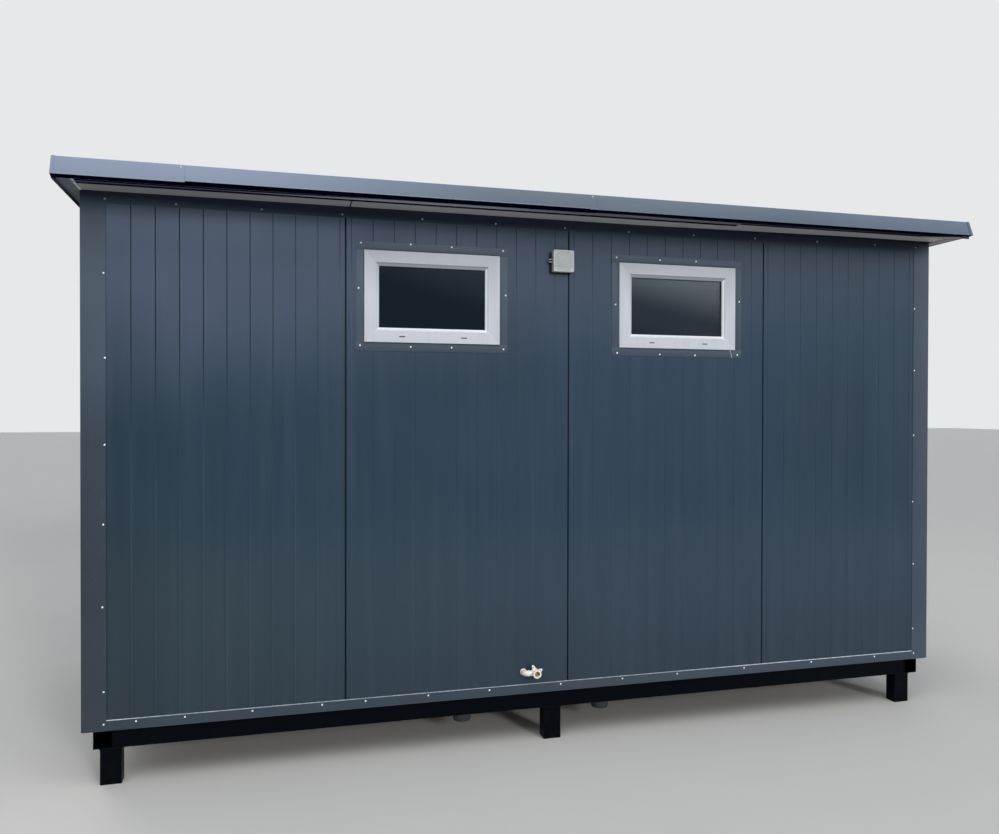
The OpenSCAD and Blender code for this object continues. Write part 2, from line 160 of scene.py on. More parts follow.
def foldedSheet(bm, corners, lay, start, end, steel, outward, place=None):
    # corners are the outer face in section, lay puts (u, v, along) in space, steel holds thickness and bend,
    # and outward is where the first leg looks
    part = bmesh.new()
    rail = [part.verts.new(lay(u, v, start)) for u, v in corners]
    edges = [part.edges.new(pair) for pair in zip(rail, rail[1:])]
    made = bmesh.ops.extrude_edge_only(part, edges=edges)["geom"]
    moved = [g for g in made if isinstance(g, bmesh.types.BMVert)]
    bmesh.ops.translate(part, verts=moved, vec=lay(0, 0, end) - lay(0, 0, start))
    part.normal_update()
    middle = (rail[0].co + rail[1].co) / 2
    first = min(part.faces, key=lambda f: (f.calc_center_median() - middle).length)
    if first.normal.dot(Vector(outward)) < 0:
        bmesh.ops.reverse_faces(part, faces=part.faces)
    folds = [e for e in part.edges if len(e.link_faces) == 2]
    # the bends take the second material, a paler copy as painted highlight
    for face in bevelEdges(part, folds, steel["bend"], 3):
        face.material_index = 1
    part.normal_update()
    bmesh.ops.solidify(part, geom=list(part.faces), thickness=steel["thickness"])
    addPart(bm, part, place)


def frameRing(centre, halfWide, halfHigh, startY, steps):  # a picture frame that faces -Y
    part = bmesh.new()
    corners = [(-1, -1), (1, -1), (1, 1), (-1, 1)]
    places = [(centre[0] + halfWide * x, startY, centre[1] + halfHigh * z) for x, z in corners]
    verts = [part.verts.new(place) for place in places]
    face = part.faces.new(verts)
    part.normal_update()
    for inset, forward in steps:
        bmesh.ops.inset_individual(part, faces=[face], thickness=inset, depth=forward, use_even_offset=True)
        part.normal_update()
    bmesh.ops.delete(part, geom=[face], context="FACES_ONLY")
    bmesh.ops.bridge_loops(part, edges=[e for e in part.edges if len(e.link_faces) == 1])
    return part


def beadLine(bm, start, end, radius, lump, step=8 * mm, place=None):  # a hand-run bead, a little uneven
    start, end = Vector(start), Vector(end)
    run = end - start
    along = run.normalized()
    part = bmesh.new()
    spot = Matrix.Translation((start + end) / 2) @ run.to_track_quat("Z", "Y").to_matrix().to_4x4()
    bmesh.ops.create_cone(
        part, cap_ends=True, segments=6, radius1=radius, radius2=radius, depth=run.length, matrix=spot,
    )
    sides = [e for e in part.edges if abs(span(e).dot(along)) > 0.5 * run.length]
    bmesh.ops.subdivide_edges(part, edges=sides, cuts=max(1, int(run.length / step)))
    for vert in part.verts:
        centre = start + along * (vert.co - start).dot(along)
        swell = 1 + lump * noise.noise(centre * 60) + 0.5 * lump * noise.noise(centre * 170)
        vert.co = centre + (vert.co - centre) * swell
    addPart(bm, part, place)


def templateMesh(build):
    bm = bmesh.new()
    build(bm)
    mesh = bpy.data.meshes.new("template")
    bm.to_mesh(mesh)
    bm.free()
    return mesh


def finishPiece(name, bm, materials, replaced=(), sharp=32):
    bmesh.ops.remove_doubles(bm, verts=bm.verts, dist=1e-6)
    bmesh.ops.recalc_face_normals(bm, faces=bm.faces)
    mesh = bpy.data.meshes.new(name)
    bm.to_mesh(mesh)
    bm.free()
    for material in materials:
        mesh.materials.append(material)
    mesh.polygons.foreach_set("use_smooth", [True] * len(mesh.polygons))
    mesh.set_sharp_from_angle(angle=math.radians(sharp))
    piece = bpy.data.objects.new(name, mesh)
    bpy.context.scene.collection.objects.link(piece)
    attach(piece, "root")
    if replaced:
        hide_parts(*replaced)
    return piece


def cutOut(piece, shape):  # takes a shape out of a finished piece
    cutter = bpy.data.objects.new("cutter", bpy.data.meshes.new("cutter"))
    shape.to_mesh(cutter.data)
    shape.free()
    bpy.context.scene.collection.objects.link(cutter)
    change = piece.modifiers.new("cut", "BOOLEAN")
    change.object = cutter
    change.operation = "DIFFERENCE"
    change.solver = "EXACT"
    evaluated = piece.evaluated_get(bpy.context.evaluated_depsgraph_get())
    mesh = bpy.data.meshes.new_from_object(evaluated)
    piece.modifiers.clear()
    piece.data = mesh
    bpy.data.objects.remove(cutter)


def onWall(turn, along, out, up, tilt=0):  # a place on the wall face at that turn, local Z looking out
    return turned(turn) @ placed((along, -out, up), 90 - tilt, "X")


# Material helpers

def linearColour(hexText):  # sRGB hex to the linear RGBA that the sockets take
    channels = [int(hexText[i:i + 2], 16) / 255 for i in (1, 3, 5)]
    return [c / 12.92 if c <= 0.04045 else ((c + 0.055) / 1.055) ** 2.4 for c in channels] + [1]


def setInputs(tree, node, inputs):  # links a socket, turns hex text linear, sets any other value as it is
    for name, value in inputs.items():
        if isinstance(value, bpy.types.NodeSocket):
            tree.links.new(value, node.inputs[name])
        else:
            node.inputs[name].default_value = linearColour(value) if isinstance(value, str) else value


def addNode(tree, kind, inputs=None, **settings):
    node = tree.nodes.new("ShaderNode" + kind)
    for name, value in settings.items():
        setattr(node, name, value)
    setInputs(tree, node, inputs or {})
    return node


def newMaterial(name):  # and the values its patterns are laid out on; offX and offY run from the middle
    material = bpy.data.materials.new(name)
    material.use_nodes = True
    tree = material.node_tree
    place = addNode(tree, "TexCoord").outputs["Object"]
    x, y, z = addNode(tree, "SeparateXYZ", {"Vector": place}).outputs
    values = {"place": place, "x": x, "y": y, "z": z}
    for off, value in (("offX", x), ("offY", y)):
        values[off] = addNode(tree, "Math", {0: value}, operation="ABSOLUTE").outputs[0]
    return material, tree, tree.nodes["Principled BSDF"], values


def mask(tree, values, *fades):
    # multiplies its fades: a number, a value by name, or a value's name with the two limits it fades between
    # and, where they aren't 0 and 1, the levels at both and the kind of fade
    total = None
    for fade in fades:
        if isinstance(fade, tuple):
            sockets = ("Value", "From Min", "From Max", "To Min", "To Max")
            inputs = dict(zip(sockets, (values[fade[0]], *fade[1:])))
            kind = fade[5] if len(fade) > 5 else "LINEAR"
            fade = addNode(tree, "MapRange", inputs, interpolation_type=kind).outputs["Result"]
        elif isinstance(fade, str):
            fade = values[fade]
        if total is None:
            total = fade
        else:
            total = addNode(tree, "Math", {0: total, 1: fade}, operation="MULTIPLY").outputs[0]
    return total


def paint(tree, values, colour, *zones):  # lays tints over a colour in turn, a zone is a tint and its fades
    for tint, *fades in zones:
        inputs = {0: mask(tree, values, *fades), 6: colour, 7: tint}
        colour = addNode(tree, "Mix", inputs, data_type="RGBA").outputs[2]
    return colour


def shifted(tree, values, name, *masks):  # a value less each mask, so that a limit on it can bend
    value = values[name]
    for fades in masks:
        inputs = {0: value, 1: mask(tree, values, *fades)}
        value = addNode(tree, "Math", inputs, operation="SUBTRACT").outputs[0]
    return value


def patches(tree, values, size, low, high, detail=2.0, stretch=None):  # clouds from 0 to 1, size in metres
    place = values["place"]
    if stretch:
        place = addNode(tree, "Mapping", {"Vector": place, "Scale": stretch}).outputs["Vector"]
    cloud = addNode(tree, "TexNoise", {"Vector": place, "Scale": 1 / size, "Detail": detail})
    return mask(tree, {"cloud": cloud.outputs["Fac"]}, ("cloud", low, high))


def relief(tree, values, size, height, detail=2.0, stretch=None):  # cloudy bumps, size and height in metres
    pattern = patches(tree, values, size, 0, 1, detail, stretch)
    return addNode(tree, "Bump", {"Height": pattern, "Distance": height}).outputs["Normal"]


def addFacing(tree, values):  # where the surface looks
    normal = addNode(tree, "NewGeometry").outputs["Normal"]
    looks = addNode(tree, "SeparateXYZ", {"Vector": normal}).outputs
    values.update(faceX=looks["X"], faceZ=looks["Z"])


# Materials

panelLook = {
    "slope": -0.12,  # the painted sky reflection in the upper part starts higher at the right
    # painted reflection: low, belt and high are the coat's tones as it mirrors the ground, the darkest ground
    # at breast height and the sky; low also darkens towards the ground
    "low": ("#2E3E48", ("#334250", ("x", -1.9, 0.2)), ("#27353F", ("z", 0.75, 0.3, 0, 0.5))),
    # the coat mirrors the darkest ground at breast height
    "belt": ("#243846", ("#293C4E", ("x", -1.9, 0.2)), ("#243846", ("x", 1.2, 1.5, 0, 0.6))),
    "beltStart": ("z", 0.85, 1.25, 0, 1, "SMOOTHSTEP"),
    "high": ("#4C586B", ("#424D5C", ("x", -1.9, 0.2)), ("#3A4654", ("x", 0.6, 1.5, 0, 0.7))),
    "highStart": ("slant", 1.72, 2.45, 0, 1, "SMOOTHSTEP"),
    "zones": (
        ("#20262F", ("z", 2.44, 2.58), ("x", -1.2, 0.2, 0, 0.35)),  # painted shade below the eaves
        ("#5C687C", ("z", 2.36, 2.48, 0, 0.7), ("x", -0.9, -1.3)),  # painted light at the top of the first panel
        ("#1A242C", ("x", -1.75, -2.05), ("z", 2.25, 2.0, 0, 0.25)),  # beside the left corner
        # dimmer wall at the left window, and below the right one
        ("#20262F", ("x", -1.15, -0.95), ("x", -0.05, -0.25), ("z", 1.6, 1.8), ("z", 2.3, 2.1, 0, 0.2)),
        ("#20262F", ("x", 1.12, 1.32), ("x", 1.95, 1.75), ("z", 1.2, 1.4), ("z", 1.95, 1.75, 0, 0.2)),
        ("#2C4050", "clouds", 0.2),
        ("#2F4449", "greens", 0.15),
        ("#5A6470", "runs", 0.10),
    ),
    # painted shade: a groove is painted nearly black at the upper left and near the top, and else like the
    # coat beside it
    "groove": "#05080D",
    "grooveLeft": (("x", -1.10, -1.15), ("x", -1.1, -1.7, 0.5, 1.0), ("z", 1.5, 1.95)),
    "grooveTop": (("z", 2.12, 2.46), ("x", 0.5, 1.6, 0.7, 0.4)),
    "grooveLight": ("x", -1.2, -0.9, 1.7, 1.4),  # makes up for the shade in a groove where none shows
    "grooveEnd": ("x", -2.06, -2.05),  # the corner trim laps over the last groove
    "grooveStart": 2.0, "groovePitch": 100 * mm,
    "grooveSide": ("#1A242C", ("nearby", 5 * mm, 2 * mm), ("x", -1.15, -1.3, 0, 0.22), ("z", 1.5, 1.2)),
    "boxShadow": "#040B17", "inside": "#D9DAD6",
    "streakWidth": 55 * mm, "cloudSize": 700 * mm, "greenSize": 420 * mm, "waveSize": 90 * mm,
}


def boxShadow():  # where the junction box keeps the light off the front wall
    low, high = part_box("junction_box")
    left = high.x - (high.z - low.z)
    return (
        panelLook["boxShadow"], ("x", left - 17 * mm, left - 9 * mm), ("x", high.x, high.x - 9 * mm),
        ("z", low.z - 12 * mm, low.z - 5 * mm), ("z", high.z, high.z - 12 * mm), ("y", 0.1, -0.1, 0, 0.9),
    )


# painted shade in the grooves, and painted light on grooves where their real shade shouldn't show
def grooveColour(tree, values, coat):
    look = panelLook
    inputs = {0: mask(tree, values, *look["grooveLeft"]), 1: mask(tree, values, *look["grooveTop"])}
    clear = addNode(tree, "Math", inputs, operation="MAXIMUM").outputs[0]
    inputs = {0: 1, 6: coat, 7: mask(tree, values, look["grooveLight"])}
    faded = addNode(tree, "Mix", inputs, data_type="RGBA", blend_type="MULTIPLY").outputs[2]
    return paint(tree, values, faded, (look["groove"], clear))


def coatedPanel(name, depth, outer, inner):
    # Roll-profiled steel with baked polyester coat: satin, faintly wavy, rain runs down it; off-white inside;
    # its tones carry painted reflection, painted light and painted shade
    look = panelLook
    material, tree, shader, values = newMaterial(name)
    inputs = {0: values["x"], 1: look["slope"], 2: values["z"]}
    values["slant"] = addNode(tree, "Math", inputs, operation="MULTIPLY_ADD").outputs[0]
    values["clouds"] = patches(tree, values, look["cloudSize"], 0.35, 0.7)
    values["greens"] = patches(tree, values, look["greenSize"], 0.5, 0.75, 3.0)
    values["runs"] = patches(tree, values, look["streakWidth"], 0.45, 0.8, 4.0, (1, 1, 0.05))
    offset = addNode(tree, "Math", {0: values["x"], 1: look["grooveStart"]}).outputs[0]
    inputs = {0: offset, 1: look["groovePitch"] / 2}
    values["nearby"] = addNode(tree, "Math", inputs, operation="PINGPONG").outputs[0]

    low, belt, high = (paint(tree, values, *look[part]) for part in ("low", "belt", "high"))
    colour = paint(tree, values, low, (belt, look["beltStart"]), (high, look["highStart"]), *look["zones"])
    groove = grooveColour(tree, values, colour)
    colour = paint(
        tree, values, colour,
        (groove, (depth, outer - 0.05 * mm, outer - 0.4 * mm), look["grooveEnd"]),
        look["grooveSide"],  # left of each groove the first sheet lies in shade
        boxShadow(),
        (look["inside"], (depth, inner + 0.6 * mm, inner + 0.3 * mm)),
    )
    setInputs(tree, shader, {
        "IOR": 1.5, "Specular IOR Level": 0.28, "Base Color": colour,
        "Roughness": mask(tree, values, ("runs", 0, 1, 0.40, 0.50)),
        "Normal": relief(tree, values, look["waveSize"], 0.8 * mm, 1.0, (1, 1, 0.3)),
    })
    return material


trimZones = (
    ("#474F5C", ("z", 2.3, 2.42, 0, 0.7)),
    ("#2E3943", ("x", -1.85, -2.05), ("z", 1.8, 1.3, 0, 0.9)),  # lower half of the left corner
    ("#3B4858", ("x", 0.2, endTrimFace)),
    ("#333D4A", ("x", -0.85, -0.5, 0, 0.3), ("z", 1.5, 1.8), ("z", 2.45, 2.38)),  # flashings, to the right
    # lower strip of the left flashing
    ("#333D4A", ("z", 1.975, 1.969, 0, 0.33), ("z", 1.7, 1.8), ("x", -1.15, -1.05), ("x", 0.0, -0.1)),
    ("#333D4A", ("x", 1.9, 2.0), ("z", 0.95, 1.15), ("z", 1.95, 1.75, 0, 0.3)),  # middle of the right corner
    ("#48535F", ("z", 0.5, 0.35), ("x", -0.8, 0.8, 0, 0.45)),  # base trim
    ("#56606C", "clouds", 0.12),
)


def coatedTrim(name, low, high, dust=0.08):
    # Folded flashing in the same polyester-coated steel: satin, a little paler, scuffed where hands fixed it;
    # darker low and paler high up as painted reflection, like the panels
    material, tree, shader, values = newMaterial(name)
    values["clouds"] = patches(tree, values, 250 * mm, 0.3, 0.75, 3.0)
    values["scuffs"] = patches(tree, values, 18 * mm, 0.62, 0.72, 6.0, (1, 1, 0.4))
    values["lowered"] = shifted(tree, values, "z", [("x", -2.1, -0.9, 0.02, 0.0)])
    colour = paint(
        tree, values, low, (high, ("z", 1.45, 2.15)), *trimZones, ("#6E7680", "scuffs", dust),
        ("#07142B", ("lowered", 2.519, 2.562, 0, 0.95)),  # the shade close below the roof
    )
    setInputs(tree, shader, {
        "IOR": 1.5, "Specular IOR Level": 0.35, "Base Color": colour,
        "Roughness": mask(tree, values, ("clouds", 0, 1, 0.38, 0.48)),
        "Normal": relief(tree, values, 60 * mm, 0.4 * mm, 1.0),
    })
    return material


fascia = {
    "lean": 30 * mm, "topFlange": 60 * mm, "return": 35 * mm, "thickness": 0.8 * mm, "bend": 2.5 * mm,
    "step": 0.6 * mm, "lap": 40 * mm, "drop": 2 * mm, "cornerWrap": 13 * mm,
    # each of the three lengths has its own flange, lip and rise
    "soffits": (71 * mm, 71 * mm, 41 * mm), "lips": (10.5 * mm, 10.5 * mm, 4 * mm),
    "rises": (-1 * mm, 4.5 * mm, 1 * mm), "seams": (-1.745, 0.094),
    # packers widen the last flange up to the first of these places and from the second one on
    "packed": (0.9, 2.0), "endPacker": 79 * mm, "packer": 1.2 * mm, "tuck": 4 * mm,
}
fasciaLook = {
    # painted reflection: the face is painted far paler than the walls' coat as it mirrors the sky, palest at
    # the left end
    "top": ("#6F7A8F", ("#3F4C5B", ("x", -1.75, -0.2, 0, 1, "SMOOTHSTEP")), ("#445162", ("x", 0.8, 1.6)),
            ("#667884", "clouds", 0.2)),
    "lap": "#222B36", "lapWidth": 1.6 * mm, "inside": "#5A6064",
    # the strip of the underside that shows between the lip's shade and the packers, painted lighter or darker
    # along the eaves as it is lit
    "strip": ("#565E74", ("#A0A7B4", ("x", -1.6, -1.2)), ("#7C7F8D", ("x", -0.4, 0.1)),
              ("#474C5A", ("x", 0.8, 1.15)), ("#31353F", ("x", 1.5, 1.9))),
    # painted shade: near black where each lip shades the underside
    "lipShade": "#020617",
    # how far out the painted shade of each length's lip reaches on its flange, and where it bows in
    "shadow": ([("x", -1.3, -0.85, 1.161, 1.183)], [("x", 0.06, 0.1, 0, 12 * mm)],
               [("x", 0.3, 0.7), ("x", 1.6, 1.0, 0, -12 * mm)], [("x", 1.96, 2.04, 0, -20 * mm)]),
    # the paler flange at both ends: its colours, how far out and how far in from the end fascia it shows
    "end": ("#6C7478", ("#A5A0A2", ("x", -1, 1)), ("#BFC4C4", ("x", -2.197, -2.193), ("x", 1, -1))),
    "endOut": ([("x", -1, 1, 1.183, 1.154)], [("x", 2.0, 2.2, 0, 40 * mm)]),
    "endIn": (72 * mm, 69 * mm, 8 * mm, 4 * mm),
}


# painted light and shade on the fascia's undersides: black in the lips' shade and a strip painted as lit
# beyond it
def fasciaUnderside(tree, values):
    look = fasciaLook
    values["pastShadow"] = shifted(tree, values, "offY", *look["shadow"])
    values["pastEnd"] = shifted(tree, values, "offY", *look["endOut"])
    strip = paint(tree, values, *look["strip"])
    under = paint(tree, values, look["lipShade"], (strip, ("pastShadow", 3 * mm, -3 * mm)))
    start, full, last, end = (vergeInside - inwards for inwards in look["endIn"])
    lastPacker = fascia["packed"][1]
    inputs = {
        0: mask(tree, values, ("offX", start, full)),
        1: mask(tree, values, ("x", lastPacker - 5 * mm, lastPacker)),
    }
    atEnd = addNode(tree, "Math", inputs, operation="MAXIMUM").outputs[0]
    flange = paint(tree, values, *look["end"])
    return paint(tree, values, under, (flange, atEnd, ("offX", end, last), ("pastEnd", 2 * mm, -2 * mm)))


def coatedFascia():
    # The same coated steel leaning to the sky: its face is painted much paler as a painted reflection of the
    # sky, and its undersides near black as painted shade
    look = fasciaLook
    material, tree, shader, values = newMaterial("coatedFascia")
    addFacing(tree, values)
    values["clouds"] = patches(tree, values, 400 * mm, 0.35, 0.7, 3.0, (0.4, 1, 1))
    values["below"] = mask(tree, values, ("faceZ", -0.3, -0.7))
    values["sideways"] = addNode(tree, "Math", {0: values["faceX"]}, operation="ABSOLUTE").outputs[0]
    colour = paint(tree, values, *look["top"])
    for seam in fascia["seams"]:  # dirt in the laps, with the painted shade of each lap's step
        inputs = {0: values["x"], 1: seam, 2: look["lapWidth"]}
        lap = addNode(tree, "Math", inputs, operation="COMPARE").outputs[0]
        colour = paint(tree, values, colour, (look["lap"], lap, 0.35))
    colour = paint(tree, values, colour, (fasciaUnderside(tree, values), "below"), (
        look["inside"], ("offX", vergeInside + 1.4 * mm, vergeInside + 0.8 * mm),
        ("z", wallTop + 1 * mm, wallTop - 1 * mm), ("below", 1, 0), ("sideways", 0.6, 0.8),
    ))
    shader.inputs["Specular IOR Level"].default_value = 0.4  # for an export that leaves out the link
    setInputs(tree, shader, {
        "IOR": 1.5, "Specular IOR Level": mask(tree, values, ("below", 0, 1, 0.4, 0.0)), "Base Color": colour,
        "Roughness": mask(tree, values, ("clouds", 0, 1, 0.36, 0.46)),
        "Normal": relief(tree, values, 120 * mm, 0.8 * mm, 1.0),
    })
    return material


def fasciaEdge():
    # The fascia's folds, painted paler as a highlight where the bends catch the light
    material, tree, shader, values = newMaterial("coatedFasciaFold")
    values["wear"] = patches(tree, values, 25 * mm, 0.4, 0.7, 4.0)
    colour = paint(tree, values, "#8C97AA", ("#66748A", ("x", -1.2, 0.1)), ("#A9B2BF", "wear", 0.3))
    setInputs(tree, shader, {"IOR": 1.5, "Roughness": 0.4, "Base Color": colour})
    return material


def coatedRoof():
    # Trapezoid roof skin: matt coated steel with settled dust above, pale liner sheet below
    material, tree, shader, values = newMaterial("coatedRoof")
    values["dust"] = patches(tree, values, 350 * mm, 0.4, 0.8, 5.0, (1, 0.3, 1))
    values["stains"] = patches(tree, values, 500 * mm, 0.4, 0.75, 4.0)
    # painted shade on the liner next to the wall, wider towards the right end, where the roof rides clear of
    # the trim
    values["past"] = shifted(tree, values, "offY", [("x", 0.4, 1.6, 0, 44 * mm)])
    top = paint(tree, values, "#4B5560", ("#7B7F80", "dust", 0.35))
    liner = paint(
        tree, values, "#9B9C9B", ("#B1B2B2", ("x", -1.9, -0.6)), ("#7E807B", "stains", 0.15),
        ("#070C14", ("past", trimFace + 2 * mm, trimFace - 3 * mm), ("offY", innerFace, panelFace)),
    )
    setInputs(tree, shader, {
        "IOR": 1.5, "Specular IOR Level": 0.35,
        "Base Color": paint(tree, values, top, (liner, ("z", wallTop + 3 * mm, wallTop + 1 * mm))),
        "Roughness": mask(tree, values, ("dust", 0, 1, 0.45, 0.7)),
        "Normal": relief(tree, values, 15 * mm, 0.1 * mm),
    })
    return material


def paintedTube():
    # Brushed-on black enamel over rolled steel tube: soft gloss, brush drag and a breath of dust
    material, tree, shader, values = newMaterial("paintedTube")
    values["dust"] = patches(tree, values, 80 * mm, 0.5, 0.85, 5.0)
    colour = paint(
        tree, values, "#02050B", ("#101419", "dust", 0.2),
        ("#2F2D29", ("z", 0.14, 0.0), "dust", 0.4),  # splashes near the ground
    )
    setInputs(tree, shader, {
        "IOR": 1.5, "Specular IOR Level": 0.06, "Base Color": colour,
        "Roughness": mask(tree, values, ("dust", 0, 1, 0.38, 0.62)),
        "Normal": relief(tree, values, 4 * mm, 0.15 * mm, 3.0),
    })
    return material


def floorPly():
    # Film-faced plywood: brown, grain along the cabin, dull
    material, tree, shader, values = newMaterial("floorPly")
    grain = patches(tree, values, 12 * mm, 0.3, 0.7, 6.0, (0.05, 1, 1))
    setInputs(tree, shader, {
        "IOR": 1.5, "Specular IOR Level": 0.3, "Roughness": 0.6,
        "Base Color": paint(tree, values, "#5D4C3A", ("#7C6850", grain)),
        "Normal": addNode(tree, "Bump", {"Height": grain, "Distance": 0.2 * mm}).outputs["Normal"],
    })
    return material


def mouldedPlastic(name, plain, shade, roughness, size=25 * mm, specular=0.5, greyedTone=None):
    # Moulded or extruded plastic, rubber or sealant: even colour, slight mottling, and a fine skin that is
    # drawn coarser than the real one so that it shows
    material, tree, shader, values = newMaterial(name)
    values["mottle"] = patches(tree, values, size, 0.4, 0.8, 4.0)
    colour = paint(tree, values, plain, (shade, "mottle", 0.5))
    if greyedTone:  # darker grey along all but the right end, and less so at the left one
        colour = paint(tree, values, colour, (greyedTone, ("x", 1.0, 0.6), ("x", -2.05, -1.85, 0.3, 1)))
    setInputs(tree, shader, {
        "IOR": 1.5, "Specular IOR Level": specular, "Base Color": colour,
        "Roughness": mask(tree, values, ("mottle", 0, 1, roughness, roughness + 0.12)),
        "Normal": relief(tree, values, 1.5 * mm, 0.04 * mm),
    })
    return material


def windowPlastic():
    # Extruded white PVC: bright and smooth with soft gloss, grey rain marks low on each frame
    material, tree, shader, values = newMaterial("windowPvc")
    addFacing(tree, values)
    values["runs"] = patches(tree, values, 30 * mm, 0.5, 0.85, 5.0, (1, 1, 0.12))
    # painted shade on the upper part of each frame and on faces looking down, painted highlight on faces
    # looking up or to the left
    inputs = {0: mask(tree, values, ("faceZ", 0.25, 0.6)), 1: mask(tree, values, ("faceX", -0.25, -0.6))}
    lit = addNode(tree, "Math", inputs, operation="MAXIMUM").outputs[0]
    colour = paint(
        tree, values, "#C9CDD5", ("#A9AEB4", "runs", 0.3), ("#A8ABB0", ("z", 2.18, 2.38, 0, 0.64)),
        ("#F1F5FC", lit), ("#A0A5AD", ("faceZ", -0.25, -0.6)),
    )
    setInputs(tree, shader, {
        "IOR": 1.53, "Specular IOR Level": 0.4, "Base Color": colour,
        "Roughness": mask(tree, values, ("runs", 0, 1, 0.30, 0.42)),
        "Normal": relief(tree, values, 50 * mm, 0.1 * mm, 1.0),
    })
    return material


def clearGlass():
    # Float glass: grey-green body tint, near mirror smooth, a trace of dust
    material, tree, shader, values = newMaterial("clearGlass")
    values["dust"] = patches(tree, values, 40 * mm, 0.45, 0.9, 4.0)
    setInputs(tree, shader, {
        "Transmission Weight": 1.0, "IOR": 1.5, "Specular IOR Level": 0.6, "Base Color": "#A9B4B8",
        "Roughness": mask(tree, values, ("dust", 0, 1, 0.01, 0.05)),
    })
    return material


def brightAlloy(name, plain, shade, roughness, metallic=1.0, dim=0.0):
    # Bare aluminium, stainless or brass: softly blurred highlights, dull spots, greyer in the eaves' shade;
    # the brushing is coarser than the real one so that it shows
    material, tree, shader, values = newMaterial(name)
    values["spots"] = patches(tree, values, 6 * mm, 0.45, 0.75, 4.0)
    eaves = ("z", topTrimBottom, topTrimBottom + 10 * mm, 0, dim)
    setInputs(tree, shader, {
        "Metallic": metallic, "Base Color": paint(tree, values, plain, (shade, "spots"), ("#343A44", eaves)),
        "Roughness": mask(tree, values, ("spots", 0, 1, roughness, roughness + 0.15)),
        "Normal": relief(tree, values, 1 * mm, 0.02 * mm, 2.0, (1, 1, 0.1)),
    })
    return material


panelLong = coatedPanel("coatedPanelLong", "offY", panelFace, innerFace)
panelEnd = coatedPanel("coatedPanelEnd", "offX", endPanelFace, endInnerFace)
trimCoat = coatedTrim("coatedTrim", "#354350", "#495663")
# painted highlight: a paler copy of the trim coat, with stronger pale scuffs, for the bends
foldLine = coatedTrim("coatedFold", "#5A6372", "#6C7480", 0.3)
doorCoat = coatedTrim("coatedDoor", "#39434F", "#424C59")
fasciaCoat = coatedFascia()
fasciaFold = fasciaEdge()
roofCoat = coatedRoof()
tubePaint = paintedTube()
deckPly = floorPly()
whitePvc = windowPlastic()
glass = clearGlass()
drainPlastic = mouldedPlastic("greyPolypropylene", "#33373B", "#3E4246", 0.4)
boxPlastic = mouldedPlastic("greyAbs", "#AEB4B3", "#A2A8A7", 0.42)
boxRim = mouldedPlastic("greyAbsRim", "#D2D6DA", "#C0C5CA", 0.36)
inletPlastic = mouldedPlastic("whitePolypropylene", "#F6F2E8", "#DDD7CB", 0.32, 15 * mm)
sealantWhite = mouldedPlastic("siliconeSealant", "#DCE8F0", "#A3B4C0", 0.45, 35 * mm, greyedTone="#A6B0B8")
blackRubber = mouldedPlastic("blackRubber", "#08111F", "#0E1826", 0.6, specular=0.25)
# painted shade: black strips beside the fascia flanges
flangeShadeStrip = mouldedPlastic("flangeShadeStrip", "#02040B", "#070A12", 0.8, specular=0.04)
rivetAlloy = brightAlloy("rivetAluminium", "#FBFCFD", "#E2E4E8", 0.4, 0.45, 0.6)
handleAlloy = brightAlloy("satinStainless", "#B9BCBF", "#A4A8AC", 0.3)
spacerAlloy = brightAlloy("spacerAluminium", "#9DA0A2", "#8B8E90", 0.4)
brass = brightAlloy("turnedBrass", "#A88A55", "#6E5832", 0.3)
print("materials made")

coats = {
    "front_rail back_rail cross_tubes floor_joists feet": tubePaint,
    "floor_deck": deckPly,
    "drain_pipes": drainPlastic,
    "end_top_trims front_top_trim back_top_trim": trimCoat,
    "door_frame door_leaf": doorCoat,
    "left_verge right_verge": fasciaCoat,
    "left_wall_panel_1 left_wall_panel_2 right_wall_panel_1 right_wall_panel_2": panelEnd,
}
panelCoats = {"front_wall_panel": panelLong, "back_wall_panel": panelLong, "roof_panel": roofCoat}
for part, material in panelCoats.items():
    coats[" ".join(f"{part}_{i}" for i in range(1, 5))] = material
for names, material in coats.items():
    for name in names.split():
        nodes[name].data.materials.clear()
        nodes[name].data.materials.append(material)


# Folded trims

sheet = {"thickness": 1.9 * mm, "bend": 2.5 * mm, "cornerLeg": 102 * mm, "return": 30 * mm}


def cornerTrims(name, ySign, replaced):
    bm = bmesh.new()
    leg = sheet["cornerLeg"]
    corners = [(endTrimFace - leg, trimFace), (endTrimFace, trimFace), (endTrimFace, trimFace - leg)]
    for xSign in (-1, 1):
        lay = lambda u, v, along: Vector((xSign * u, ySign * v, along))
        foldedSheet(bm, corners, lay, wallBottom, cornerTop, sheet, (0, ySign, 0))
    finishPiece(name, bm, [trimCoat, foldLine], [replaced])


def baseTrims(name, turns, face, half, replaced):
    bm = bmesh.new()
    corners = [(face, baseTrimTop), (face, wallBottom), (face - sheet["return"], wallBottom)]
    for turn in turns:
        foldedSheet(bm, corners, alongWall, -half, half, sheet, (0, -1, 0), turned(turn))
    finishPiece(name, bm, [trimCoat, foldLine], [replaced])


cornerTrims("frontCornerTrims", -1, "front_corner_trims")
cornerTrims("backCornerTrims", 1, "back_corner_trims")
baseTrims("frontBaseTrim", (0,), trimFace, trimEnd, "front_base_trim")
baseTrims("backBaseTrim", (180,), trimFace, trimEnd, "back_base_trim")
baseTrims("endBaseTrims", (90, -90), endTrimFace, trimFace - sheet["cornerLeg"], "end_base_trims")
print("trims folded")


# Eaves fascias: three lapped lengths and a return of the end fascia at each corner

def fasciaSection(sunk, lip, rise=0, flange=fascia["soffits"][0]):  # the outer face, moved back by sunk
    edge, back = eavesEdge - sunk, eavesEdge - fascia["return"]
    top, low = roofTop - sunk * 0.4, wallTop - fascia["drop"] + sunk * 0.4
    return [
        (edge - fascia["lean"] - fascia["topFlange"], top),
        (edge - fascia["lean"], top),
        (edge, wallTop + rise),
        (back, wallTop - lip + sunk * 0.5),
        (back - fascia["drop"], low),
        (back - sunk - flange, low),
    ]


